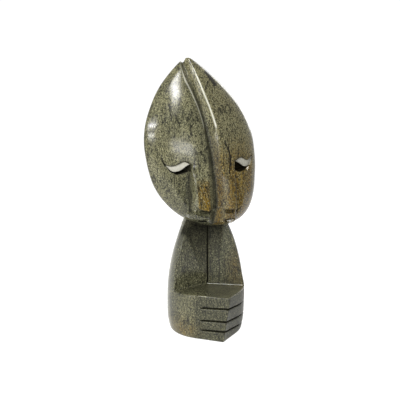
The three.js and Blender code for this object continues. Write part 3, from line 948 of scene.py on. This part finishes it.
    def painted_shadow_of_eyes(self, p: Place) -> Field:
        """Gives the painted shadow in the pockets below the eyelids, and in the line along each brow.

        Args:
            p: Points of the surface with their measures.

        Returns:
            The painted shadow in the pockets below the eyelids, and in the line along each brow.
        """
        face = self.forms.face
        found = np.zeros_like(p.x)
        for eye in face.eyes:
            out = face.out(eye, p.x) / eye.width
            under, over = face.height(eye.lid(out)) - p.z, p.z - face.height(eye.hollow(out))
            inside = fades((under, -0.4, 0.4), (over, -1.2, 0), (p.sunk, 2, 4.5), (p.f, 3, 7))
            pocket = inside * fades((face.outside(eye, *p.xfz), -1.2, -0.2), (out, 0.84, 0.78))
            tail, arch = fades((out, 0.8, 0.88)), fades((out, 0.62, 0.5))
            off = np.abs(p.z - face.height(eye.brow(out)) - 0.4 + 1.6 * tail - 0.9 * arch)
            line = fades((1.6 + 1.8 * tail + 0.9 * arch - off, 0, 1.6), (out, 1, 0.95), (out, 0.02, 0.07))
            line = line * fades((p.f, 8, 13)) * np.maximum(fades((p.sunk, -1, -0.2)), tail)
            found = strongest(found, pocket, (0.7 + 0.28 * tail) * line)
        return found

    def painted_shadow_of_valley(self, p: Place) -> Field:
        """Gives the painted shadow in the valley's bed and on its flanks.

        Args:
            p: Points of the surface with their measures.

        Returns:
            The painted shadow in the valley's bed and on its flanks.
        """
        bed = fades((p.across, -3.5, -1), (p.across, 4.5, -0.5), (p.share, 0.93, 0.83))
        flank = 0.6 * fades((p.across, -8, -5), (p.across, 16, 9), (p.share, 0.62, 0.5))
        return 0.72 * np.maximum(bed, flank) * fades((p.share, 0, 0.05), (p.f, 12, 20))

    def painted_shadow_of_noses(self, p: Place) -> Field:
        """Gives the painted shade on the right nose, and the painted shadow along the left one's foot and
        under both tips.

        Args:
            p: Points of the surface with their measures.

        Returns:
            The painted shade on the right nose, and the painted shadow along the left one's foot and under
            both tips.
        """
        near = np.abs(p.under_tip)
        gap = fades((p.z, 208, 212), (p.under_tip, -1, 0.5), (p.behind_nose, 3, 5), (p.f, 36, 39))
        foot = fades((np.abs(p.beside - 0.6), 3.2, 0.6), (p.z, 284, 274), (p.z, 196, 208), (p.f, 40, 36))
        return strongest(
            0.26 * fades((p.x, 8, 16), (p.x, 36, 33), (p.f, 44, 47), (p.z, 300, 270)),
            0.66 * foot * fades((p.f, 14, 20)),
            fades((near, 1.6, 0.6), (p.behind_nose, 1, 3), (p.f, 40, 43), (p.x, -6, -9)),
            0.7 * gap * fades((p.x, -29, -26), (p.x, -4, -7)),
            0.6 * fades((self.forms.face.nostril(*p.xfz), 1.2, 0.2), (p.behind_lips, 0.8, 2.0)),
        )

    def painted_shadow_of_mouths(self, p: Place) -> Field:
        """Gives the painted shadow in the left slit, and on the upper edge of the right one's scoop.

        Args:
            p: Points of the surface with their measures.

        Returns:
            The painted shadow in the left slit, and on the upper edge of the right one's scoop.
        """
        face = self.forms.face
        mouth = face.scoops[0]
        opening = mouth.opening(p.x, p.z)
        turn = (p.z - mouth.z) / mouth.half - 0.35 * (p.x - mouth.x) / mouth.wide
        scoop = fades((opening, -1.5, -0.7), (opening, 1, 0.2), (mouth.distance(*p.xfz), 1, 0.2))
        slit = fades((face.slit(*p.xfz), 0.9, 0.1), (p.behind_lips, -0.6, 0.4))
        return np.maximum(slit, scoop * fades((turn, 0.1, 0.4)))

    def painted_highlight(self, p: Place) -> Field:
        """Gives where painted highlights run as pale lines along the valley's two arrises.

        Args:
            p: Points of the surface with their measures.

        Returns:
            The tone's share from 0 to 1.
        """
        face = self.forms.face
        steep = face.valley_left(p.share) - face.chamfer
        knee = steep * np.abs(p.across) - face.valley_knee(p.share)
        rim = np.abs(self.forms.leaf.distance(*p.xfz))
        right = fades((rim, 1.6, 0.4), (p.across, 0, 1), (p.share, 0.97, 0.92))
        left = 0.75 * fades((np.abs(knee), 2.2, 0.8), (p.across, 0, -1), (p.share, 0.99, 0.96))
        on_valley = fades((np.abs(face.valley(*p.xfz)), 1.6, 0.4), (p.share, 0.6, 0.63), (p.f, 4, 8))
        return on_valley * np.maximum(right, left)

    def veins(self, p: Place) -> Field:
        """Gives the dark lines and patches.

        Args:
            p: Points of the surface with their measures.

        Returns:
            The dark lines and patches.
        """
        found = np.zeros_like(p.x)
        for number, mark in enumerate(self.MARKS):
            wave = np.sin(p.z * 0.9 + number) * 0.5 + np.sin(p.z * 2.3 + 2 * number) * 0.3
            px = p.x + mark.wander * wave
            near = np.full_like(px, 1e3)
            for (x0, z0), (x1, z1) in zip(mark.path, mark.path[1:]):
                run, rise = x1 - x0, z1 - z0
                t = np.clip(((px - x0) * run + (p.z - z0) * rise) / (run * run + rise * rise), 0, 1)
                near = np.minimum(near, np.hypot(px - x0 - t * run, p.z - z0 - t * rise))
            found = np.maximum(found, mark.strength * fades((near, mark.width + 0.7, mark.width - 0.7)))
        return found * fades((p.f, 2, 8))

    def fields(self, points: Field) -> dict[str, Field]:
        """Paints all tones on points of the surface.

        Args:
            points: Rows of x, front and height.

        Returns:
            Values from 0 to 1 for each tone's name.
        """
        place = Place(self.forms, points)
        tones = {"lid": self.lids, "ochre": self.ochre, "green_and_painted_shade": self.green_and_painted_shade}
        tones |= {"painted_shadow": self.painted_shadow, "vein": self.veins, "painted_highlight": self.painted_highlight}
        return {name: tone(place) for name, tone in tones.items()}


@dataclass
class Surface:
    """Points and faces of a meshed surface, as x, front and height in millimetres."""

    points: Field
    faces: Field


class Mesher:
    """Meshes a signed distance by surface nets, and only works near the surface."""

    BLOCK = 5
    CHUNK = 400_000

    def __init__(self, form: Sculpture, low: Point, high: Point, step: float) -> None:
        """Lays out the grid.

        Args:
            form: What is meshed.
            low: Lowest corner in x, front and height.
            high: Highest corner.
            step: Distance between grid points.
        """
        self.form = form
        self.step = step
        self.axes = [np.arange(a - 2.4 * step, b + 3 * step, step) for a, b in zip(low, high)]

    def sample(self) -> Field:
        """Gives the distance at each grid point, and only its sign far from the surface.

        Returns:
            The distance at each grid point, and only its sign far from the surface.
        """
        block = self.BLOCK
        centres = [a[block // 2 :: block] for a in self.axes]
        coarse = self.form.distance(*np.meshgrid(*centres, indexing="ij"))
        near = np.abs(coarse) < 1.5 * block * self.step + 2.0
        shape = [len(a) for a in self.axes]
        for axis in range(3):
            picks = np.minimum(np.arange(shape[axis]) // block, len(centres[axis]) - 1)
            coarse = np.take(coarse, picks, axis)
            near = np.take(near, picks, axis)
        i, j, k = np.nonzero(near)
        for start in range(0, len(i), self.CHUNK):
            part = slice(start, start + self.CHUNK)
            at = (i[part], j[part], k[part])
            coarse[at] = self.form.distance(*(axis[n] for axis, n in zip(self.axes, at)))
        return coarse

    def mesh(self) -> Surface:
        """Meshes the surface with quads and moves their corners onto it.

        Returns:
            The surface.
        """
        values = self.sample()
        inside = values < 0
        corners = [(a, b, c) for a in (0, 1) for b in (0, 1) for c in (0, 1)]
        n = [size - 1 for size in values.shape]
        count = sum(inside[a : a + n[0], b : b + n[1], c : c + n[2]].astype(np.int8) for a, b, c in corners)
        cells = np.nonzero((count > 0) & (count < 8))
        number = np.full(count.shape, -1, np.int64)
        number[cells] = np.arange(len(cells[0]))
        at = {c: values[cells[0] + c[0], cells[1] + c[1], cells[2] + c[2]] for c in corners}
        total = np.zeros((len(cells[0]), 3))
        hits = np.zeros(len(cells[0]))
        for a in corners:
            for axis in range(3):
                if a[axis]:
                    continue
                b = tuple(1 if m == axis else a[m] for m in range(3))
                crosses = (at[a] < 0) != (at[b] < 0)
                t = np.where(crosses, at[a] / np.where(crosses, at[a] - at[b], 1), 0)
                place = np.array(a, float) + np.eye(3)[axis] * t[:, None]
                total += place * crosses[:, None]
                hits += crosses
        start = np.array([axis[0] for axis in self.axes])
        points = start + self.step * (np.stack(cells, 1) + total / hits[:, None])
        return Surface(self.settle(points, 3), self.quads(inside, number))

    def quads(self, inside: Field, number: Field) -> Field:
        """Joins the four cells round each grid edge that crosses the surface.

        Args:
            inside: Whether each grid point is in the stone.
            number: Number of the corner in each cell.

        Returns:
            Four corner numbers for each face.
        """
        faces = []
        for axis in range(3):
            first = np.moveaxis(inside, axis, 0)
            cell = np.moveaxis(number, axis, 0)
            change = first[:-1] != first[1:]
            i, j, k = np.nonzero(change[:, 1:-1, 1:-1])
            j, k = j + 1, k + 1
            ways = ((-1, -1), (0, -1), (0, 0), (-1, 0))
            around = np.stack([cell[i, j + a, k + b] for a, b in ways], 1)
            flip = first[i, j, k] == (axis != 1)
            around[flip] = around[flip, ::-1]
            faces.append(around)
        return np.concatenate(faces)

    def slope(self, points: Field) -> tuple[Field, Field]:
        """Gives the distance and its slope at points.

        Args:
            points: Rows of x, front and height.

        Returns:
            The distance and its slope at points.
        """
        e = 0.3
        d = self.form.distance(*points.T)
        steps = [
            (self.form.distance(*(points + e * way).T) - self.form.distance(*(points - e * way).T)) / (2 * e)
            for way in np.eye(3)
        ]
        return d, np.stack(steps, 1)

    def settle(self, points: Field, rounds: int) -> Field:
        """Moves points onto the surface.

        Args:
            points: Rows of x, front and height near the surface.
            rounds: How often the move is made better.

        Returns:
            The moved points.
        """
        for _ in range(rounds):
            d, slope = self.slope(points)
            size = np.maximum((slope * slope).sum(1), 0.05)
            move = slope * (d / size)[:, None]
            length = np.linalg.norm(move, axis=1, keepdims=True)
            points = points - move * np.minimum(1, 0.5 * self.step / np.maximum(length, 1e-9))
        return points


class Stone:
    """The visible stone: a fine mesh in place of the CAD node."""

    MOST_TRIANGLES = 190_000

    def __init__(self, form: Sculpture, step: float) -> None:
        """Meshes the form inside the CAD node's box.

        Args:
            form: What is carved.
            step: Fineness of the mesh in millimetres.
        """
        low, high = (np.array(corner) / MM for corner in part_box(NODE))
        self.low = (low[0], -high[1], low[2])
        self.high = (high[0], -low[1], high[2])
        self.mesher = Mesher(form, self.low, self.high, step)
        self.tones = Tones(form)

    def make(self) -> bpy.types.Object:
        """Makes the object, with its tones as attributes and smooth normals.

        Returns:
            The stone's object.
        """
        surface = self.mesher.mesh()
        mesh = self.to_mesh(surface)
        obj = bpy.data.objects.new("carved_stone", mesh)
        bpy.context.scene.collection.objects.link(obj)
        triangles = 2 * len(surface.faces)
        if triangles > self.MOST_TRIANGLES:
            self.thin(obj, self.MOST_TRIANGLES / triangles)
        self.dress(obj.data)
        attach(obj, "root")
        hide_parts(NODE)
        log.info("carved stone: %d corners, %d faces", len(obj.data.vertices), len(obj.data.polygons))
        return obj

    @staticmethod
    def to_mesh(surface: Surface) -> bpy.types.Mesh:
        """Turns the surface into a Blender mesh in metres.

        Args:
            surface: Points and faces in millimetres.

        Returns:
            The mesh.
        """
        x, f, z = surface.points.T * MM
        count = len(surface.faces)
        mesh = bpy.data.meshes.new("carved_stone")
        mesh.vertices.add(len(x))
        mesh.vertices.foreach_set("co", np.stack([x, -f, z], 1).ravel())
        mesh.loops.add(4 * count)
        mesh.loops.foreach_set("vertex_index", surface.faces.ravel())
        mesh.polygons.add(count)
        mesh.polygons.foreach_set("loop_start", np.arange(0, 4 * count, 4))
        mesh.update(calc_edges=True)
        mesh.validate()
        return mesh

    @staticmethod
    def thin(obj: bpy.types.Object, ratio: float) -> None:
        """Takes corners out where the surface is plain.

        Args:
            obj: The object.
            ratio: Share of the triangles that stays.
        """
        modifier = obj.modifiers.new("thin", "DECIMATE")
        modifier.ratio = ratio
        modifier.use_collapse_triangulate = True
        graph = bpy.context.evaluated_depsgraph_get()
        mesh = bpy.data.meshes.new_from_object(obj.evaluated_get(graph))
        obj.modifiers.clear()
        obj.data = mesh

    def dress(self, mesh: bpy.types.Mesh) -> None:
        """Settles the corners on the form, and gives them normals and tones.

        Args:
            mesh: The mesh.
        """
        count = len(mesh.vertices)
        flat = np.empty(3 * count)
        mesh.vertices.foreach_get("co", flat)
        points = flat.reshape(-1, 3) * (1, -1, 1) / MM
        points = np.clip(self.mesher.settle(points, 2), self.low, self.high)
        mesh.vertices.foreach_set("co", (points * (1, -1, 1) * MM).ravel())
        mesh.polygons.foreach_set("use_smooth", np.ones(len(mesh.polygons), bool))
        slope = self.mesher.slope(points)[1] * (1, -1, 1)
        normals = slope / np.maximum(np.linalg.norm(slope, axis=1, keepdims=True), 1e-9)
        mesh.update()
        mesh.normals_split_custom_set_from_vertices(normals)
        for name, values in self.tones.fields(points).items():
            attribute = mesh.attributes.new(name, "FLOAT", "POINT")
            attribute.data.foreach_set("value", values.astype(np.float32))


class Hue(Enum):
    """Colours of the stone, as sRGB hex."""

    GROUND = "#69664c"
    PALE = "#8f8c6e"
    # a greener stone, and also the colour of painted shade
    GREEN = "#3b3c2b"
    GRAIN = "#181812"
    OCHRE = "#5a440b"
    OCHRE_LIGHT = "#6c5515"
    VEIN = "#060605"
    # painted shadow: near black, for hollows and the shade under overhangs
    PAINTED_SHADOW = "#070705"
    LID = "#a4a298"
    # painted highlight: pale lines along the valley's arrises
    PAINTED_HIGHLIGHT = "#c4c3b4"
    FLOOR = "#9a9a98"
    LIGHT = "#ffffff"


def linear(hue: Hue) -> tuple[float, float, float, float]:
    """Turns an sRGB hex colour into linear light.

    Args:
        hue: The colour.

    Returns:
        Red, green, blue and an alpha of 1.
    """
    parts = [int(hue.value[i : i + 2], 16) / 255 for i in (1, 3, 5)]
    r, g, b = (c / 12.92 if c <= 0.04045 else ((c + 0.055) / 1.055) ** 2.4 for c in parts)
    return (r, g, b, 1.0)


class Graph:
    """A node tree whose outputs are kept under names."""

    def __init__(self, tree: bpy.types.NodeTree) -> None:
        """Empties the tree.

        Args:
            tree: The tree.
        """
        self.tree = tree
        self.outputs: dict[str, bpy.types.NodeSocket] = {}
        tree.nodes.clear()

    def add(self, name: str, kind: str, inputs: dict, output: int | str = 0, **settings: object) -> None:
        """Adds a node with its settings and links.

        Args:
            name: Name under which its output is kept.
            kind: The node's type, without the word ShaderNode.
            inputs: By input name or number, the name of an output, a colour, or a value.
            output: Name or number of the output that is kept.
            settings: The node's own settings.
        """
        node = self.tree.nodes.new("ShaderNode" + kind)
        for key, value in settings.items():
            setattr(node, key, value)
        for key, value in inputs.items():
            if isinstance(value, str):
                self.tree.links.new(self.outputs[value], node.inputs[key])
            else:
                node.inputs[key].default_value = linear(value) if isinstance(value, Hue) else value
        if node.outputs:
            self.outputs[name] = node.outputs[output]


@dataclass(frozen=True)
class Pattern:
    """A noise in the stone: its grains' width in millimetres, and how far they are drawn out upwards."""

    width: float
    upright: float = 1.0
    detail: float = 3.0
    rough: float = 0.55


@dataclass(frozen=True)
class Spread:
    """A value that goes smoothly from start to end while another goes from low to high."""

    of: str
    low: float
    high: float
    start: float = 0.0
    end: float = 1.0


@dataclass(frozen=True)
class Sum:
    """Two values that are joined by a sum, and held between 0 and 1."""

    a: str
    how: str
    b: str | float


@dataclass(frozen=True)
class Layer:
    """A colour over another one, as far as a share goes."""

    name: str
    share: str
    under: str | Hue
    over: str | Hue


class PolishedSerpentine:
    """Serpentine, sawn, ground through the grits and waxed to a soft mirror; the eyelids are left as tooled.

    To the eye it is a dark olive stone, full of fine black and pale specks, whose polish shows the lamps as
    crisp patches. The tooled lids scatter the light and are chalky and pale.
    """

    # Three tones paint light into the colour: painted shade with a greener stone, painted shadow in hollows
    # and under overhangs, and painted highlights on the valley's arrises.
    TONES = ("lid", "ochre", "green_and_painted_shade", "painted_shadow", "vein", "painted_highlight")
    # Widths in millimetres. Grains of magnetite and carbonate are 0.1 to 1 mm wide, and most of them are too
    # fine to show in the render, so speck and fleck are drawn as coarse as they need to show.
    PATTERNS = {
        "cloud": Pattern(38.0),  # lighter and darker zones of the block
        "speck": Pattern(1.6, 1.7, 2.0, 0.7),  # black magnetite grains
        "fleck": Pattern(1.4, 1.4, 2.0, 0.6),  # pale carbonate grains
        "streak": Pattern(2.6, 9.0, 3.0, 0.6),  # dark threads along the bedding
        "band": Pattern(14.0, 9.0),  # ochre bands along the bedding
        "stain": Pattern(6.0, 1.7),  # lighter and deeper ochre
        "wax": Pattern(9.0),  # where the wax is thick or thin
        "hand": Pattern(16.0, 1.0, 2.0),  # waves that grinding by hand leaves
        "tooling": Pattern(2.2, 1.0, 4.0),  # chisel marks on the lids
    }
    SHARES = {
        "cloud_green": Spread("cloud", 0.42, 0.66, 0.0, 0.45),
        # the greener stone's clouds, with painted shade added
        "dark_green": Sum("green_and_painted_shade", "ADD", "cloud_green"),
        "green": Sum("dark_green", "MULTIPLY", 0.8),
        "banded": Spread("band", 0.3, 0.6, 0.45, 1.0),
        "ochres": Sum("ochre", "MULTIPLY", "banded"),
        "light_ochre": Spread("stain", 0.4, 0.62),
        "all_flecks": Spread("fleck", 0.54, 0.62, 0.0, 0.68),
        "in_light": Spread("green_and_painted_shade", 0.0, 1.0, 1.0, 0.95),
        "flecks": Sum("all_flecks", "MULTIPLY", "in_light"),
        "denser": Spread("green_and_painted_shade", 0.0, 1.0, 0.0, 0.01),
        "dense": Sum("speck", "ADD", "denser"),
        "grains": Spread("dense", 0.495, 0.565, 0.0, 0.9),
        "threads": Spread("streak", 0.52, 0.64),
        "in_clouds": Spread("cloud", 0.38, 0.58, 0.2, 0.85),
        "lines": Sum("threads", "MULTIPLY", "in_clouds"),
        # painted highlight on the arrises
        "painted_highlight_share": Sum("painted_highlight", "MULTIPLY", 0.8),
        # painted shadow
        "painted_shadow_share": Sum("painted_shadow", "MULTIPLY", 0.92),
        "through_chalk": Spread("speck", 0.35, 0.7, 0.0, 0.35),
        "gloss": Spread("wax", 0.3, 0.7, 0.14, 0.24),
        "dull": Sum("lid", "MAXIMUM", "painted_shadow"),
        "shine": Spread("dull", 0.0, 1.0, 0.3, 0.05),
    }
    LAYERS = (
        Layer("earth", "light_ochre", Hue.OCHRE, Hue.OCHRE_LIGHT),
        Layer("chalk", "through_chalk", Hue.LID, Hue.GROUND),
        # greener stone and painted shade
        Layer("colour", "green", Hue.GROUND, Hue.GREEN),
        Layer("colour", "ochres", "colour", "earth"),
        Layer("colour", "flecks", "colour", Hue.PALE),
        Layer("colour", "grains", "colour", Hue.GRAIN),
        Layer("colour", "lines", "colour", Hue.GRAIN),
        # painted highlight
        Layer("colour", "painted_highlight_share", "colour", Hue.PAINTED_HIGHLIGHT),
        Layer("colour", "vein", "colour", Hue.VEIN),
        # painted shadow
        Layer("colour", "painted_shadow_share", "colour", Hue.PAINTED_SHADOW),
        Layer("colour", "lid", "colour", "chalk"),
    )
    RELIEF = (
        {"Strength": 0.1, "Distance": 0.15 * MM, "Height": "hand"},
        {"Strength": 0.04, "Distance": 0.1 * MM, "Height": "speck", "Normal": "relief"},
        {"Strength": "lid", "Distance": 0.5 * MM, "Height": "tooling", "Normal": "relief"},
    )
    DULL_ROUGHNESS = 0.8
    IOR = 1.57

    def make(self) -> bpy.types.Material:
        """Makes the material.

        Returns:
            The material.
        """
        material = bpy.data.materials.new("polished_serpentine")
        material.use_nodes = True
        g = Graph(material.node_tree)
        self.lay_patterns(g)
        self.work_out_shares(g)
        for layer in self.LAYERS:
            inputs = {0: layer.share, 6: layer.under, 7: layer.over}
            g.add(layer.name, "Mix", inputs, output=2, data_type="RGBA")
        g.add("roughness", "Mix", {0: "dull", 2: "gloss", 3: self.DULL_ROUGHNESS})
        for inputs in self.RELIEF:
            g.add("relief", "Bump", inputs)
        inputs = {"Base Color": "colour", "Roughness": "roughness", "IOR": self.IOR}
        g.add("stone", "BsdfPrincipled", inputs | {"Specular IOR Level": "shine", "Normal": "relief"})
        g.add("", "OutputMaterial", {"Surface": "stone"})
        return material

    def lay_patterns(self, g: Graph) -> None:
        """Adds the tones that are painted on the mesh, and the noise patterns.

        Args:
            g: The material's node tree.
        """
        for tone in self.TONES:
            g.add(tone, "Attribute", {}, output="Fac", attribute_name=tone)
        g.add("place", "TexCoord", {}, output="Object")
        for name, pattern in self.PATTERNS.items():
            scale = (1 / MM, 1 / MM, 1 / MM / pattern.upright)
            g.add("drawn_out", "Mapping", {"Vector": "place", "Scale": scale})
            inputs = {"Vector": "drawn_out", "Scale": 1 / pattern.width, "Detail": pattern.detail}
            g.add(name, "TexNoise", inputs | {"Roughness": pattern.rough}, output="Fac")

    def work_out_shares(self, g: Graph) -> None:
        """Adds the shares in order, as later ones build on earlier ones.

        Args:
            g: The material's node tree.
        """
        for name, share in self.SHARES.items():
            if isinstance(share, Sum):
                g.add(name, "Math", {0: share.a, 1: share.b}, operation=share.how, use_clamp=True)
            else:
                inputs = {"Value": share.of, "From Min": share.low, "From Max": share.high}
                inputs |= {"To Min": share.start, "To Max": share.end}
                g.add(name, "MapRange", inputs, interpolation_type="SMOOTHSTEP")


@dataclass(frozen=True)
class PaleFloor:
    """A matt sheet of opal acrylic, lit from below: even and nearly white, with soft faint shadows.

    It is no wider than the picture needs, and lies just under the foot.
    """

    front: float = 0.4
    reach: float = 0.8
    glow: float = 0.8
    below: float = 0.1 * MM

    def make(self) -> bpy.types.Object:
        """Makes the floor just under the foot.

        Returns:
            The floor.
        """
        r, front = self.reach, -self.front
        mesh = bpy.data.meshes.new("floor")
        mesh.from_pydata([(-r, front, 0), (r, front, 0), (r, r, 0), (-r, r, 0)], [], [(0, 1, 2, 3)])
        material = bpy.data.materials.new("opal_acrylic")
        material.use_nodes = True
        g = Graph(material.node_tree)
        inputs = {"Base Color": Hue.FLOOR, "Roughness": 0.9, "Emission Color": Hue.LIGHT}
        g.add("acrylic", "BsdfPrincipled", inputs | {"Emission Strength": self.glow})
        g.add("", "OutputMaterial", {"Surface": "acrylic"})
        mesh.materials.append(material)
        floor = bpy.data.objects.new("floor", mesh)
        floor.location.z = -self.below
        bpy.context.scene.collection.objects.link(floor)
        return floor


def toward(bearing: float, rise: float) -> Vector:
    """Gives the direction at a bearing from the front and a rise above level, both in degrees."""
    a, e = math.radians(bearing), math.radians(rise)
    return Vector((math.sin(a) * math.cos(e), -math.cos(a) * math.cos(e), math.sin(e)))


@dataclass(frozen=True)
class Softbox:
    """A lamp that looks at the object, placed by its direction from it."""

    name: str
    bearing: float
    rise: float
    far: float
    wide: float
    tall: float
    watts: float
    roll: float = 0.0

    def make(self, aim: Vector) -> bpy.types.Object:
        """Makes the lamp.

        Args:
            aim: Point that it looks at.

        Returns:
            The lamp.
        """
        way = toward(self.bearing, self.rise)
        data = bpy.data.lights.new(self.name, "AREA")
        data.shape = "RECTANGLE"
        data.size, data.size_y = self.wide, self.tall
        data.energy = self.watts
        lamp = bpy.data.objects.new(self.name, data)
        lamp.location = aim + way * self.far
        turn = (-way).to_track_quat("-Z", "Y") @ Quaternion((0, 0, 1), math.radians(self.roll))
        lamp.rotation_euler = turn.to_euler()
        bpy.context.scene.collection.objects.link(lamp)
        return lamp


@dataclass(frozen=True)
class Studio:
    """A window on the upper left, narrow lamps, and a room that is white behind and dim in front."""

    aim: Point = (0.0, 0.0, 0.26)
    lamps: tuple[Softbox, ...] = (
        Softbox("key", -31, 34, 1.6, 0.32, 0.85, 28, 35),
        Softbox("top", 10, 78, 1.5, 0.45, 0.45, 6),
        Softbox("right_strip", 124, 18, 1.5, 0.45, 0.9, 7),
        Softbox("strip_high", -66, 8, 1.5, 0.75, 0.08, 9),
        Softbox("strip_low", -63, -1.5, 1.5, 0.5, 0.05, 4),
        Softbox("low_front", -15, -9, 1.4, 0.6, 0.12, 4),
        Softbox("back", 160, 35, 1.8, 1.2, 0.8, 10),
    )
    room_from: tuple[float, float] = (-0.25, 0.45)
    room_strength: tuple[float, float] = (0.3, 1.06)

    def make(self) -> None:
        """Makes the lamps and the room's light."""
        for lamp in self.lamps:
            lamp.make(Vector(self.aim))
        world = bpy.data.worlds.new("room")
        bpy.context.scene.world = world
        world.use_nodes = True
        g = Graph(world.node_tree)
        g.add("way", "TexCoord", {}, output="Generated")
        g.add("back", "SeparateXYZ", {0: "way"}, output=1)
        inputs = {"Value": "back", "From Min": self.room_from[0], "From Max": self.room_from[1]}
        inputs |= {"To Min": self.room_strength[0], "To Max": self.room_strength[1]}
        g.add("strength", "MapRange", inputs, interpolation_type="SMOOTHSTEP")
        g.add("room", "Background", {"Color": Hue.LIGHT, "Strength": "strength"})
        g.add("", "OutputWorld", {"Surface": "room"})
        bpy.context.scene.view_settings.view_transform = "Standard"


@dataclass(frozen=True)
class Camera:
    """The photograph's camera: a long lens from the front, a little to the left and above."""

    bearing: float = -20.0
    rise: float = 15.0
    far: float = 1.3
    lens: float = 71.78
    sensor: float = 36.0
    aim: Point = (-8.4, 3.1, 219.0)

    def make(self) -> bpy.types.Object:
        """Makes the camera and looks through it.

        Returns:
            The camera.
        """
        way = toward(self.bearing, self.rise)
        data = bpy.data.cameras.new("camera")
        data.lens = self.lens
        data.sensor_width = self.sensor
        camera = bpy.data.objects.new("camera", data)
        camera.location = Vector(self.aim) * MM + way * self.far
        camera.rotation_euler = (-way).to_track_quat("-Z", "Y").to_euler()
        bpy.context.scene.collection.objects.link(camera)
        bpy.context.scene.camera = camera
        return camera


def main() -> None:
    """Builds the scene: stone, floor, light and camera."""
    logging.basicConfig(level=logging.INFO, format="%(message)s", force=True)
    step = 1.25
    stone = Stone(Sculpture(Sizes()), step).make()
    stone.data.materials.append(PolishedSerpentine().make())
    PaleFloor().make()
    Studio().make()
    Camera().make()


if __name__ == "__main__":
    main()
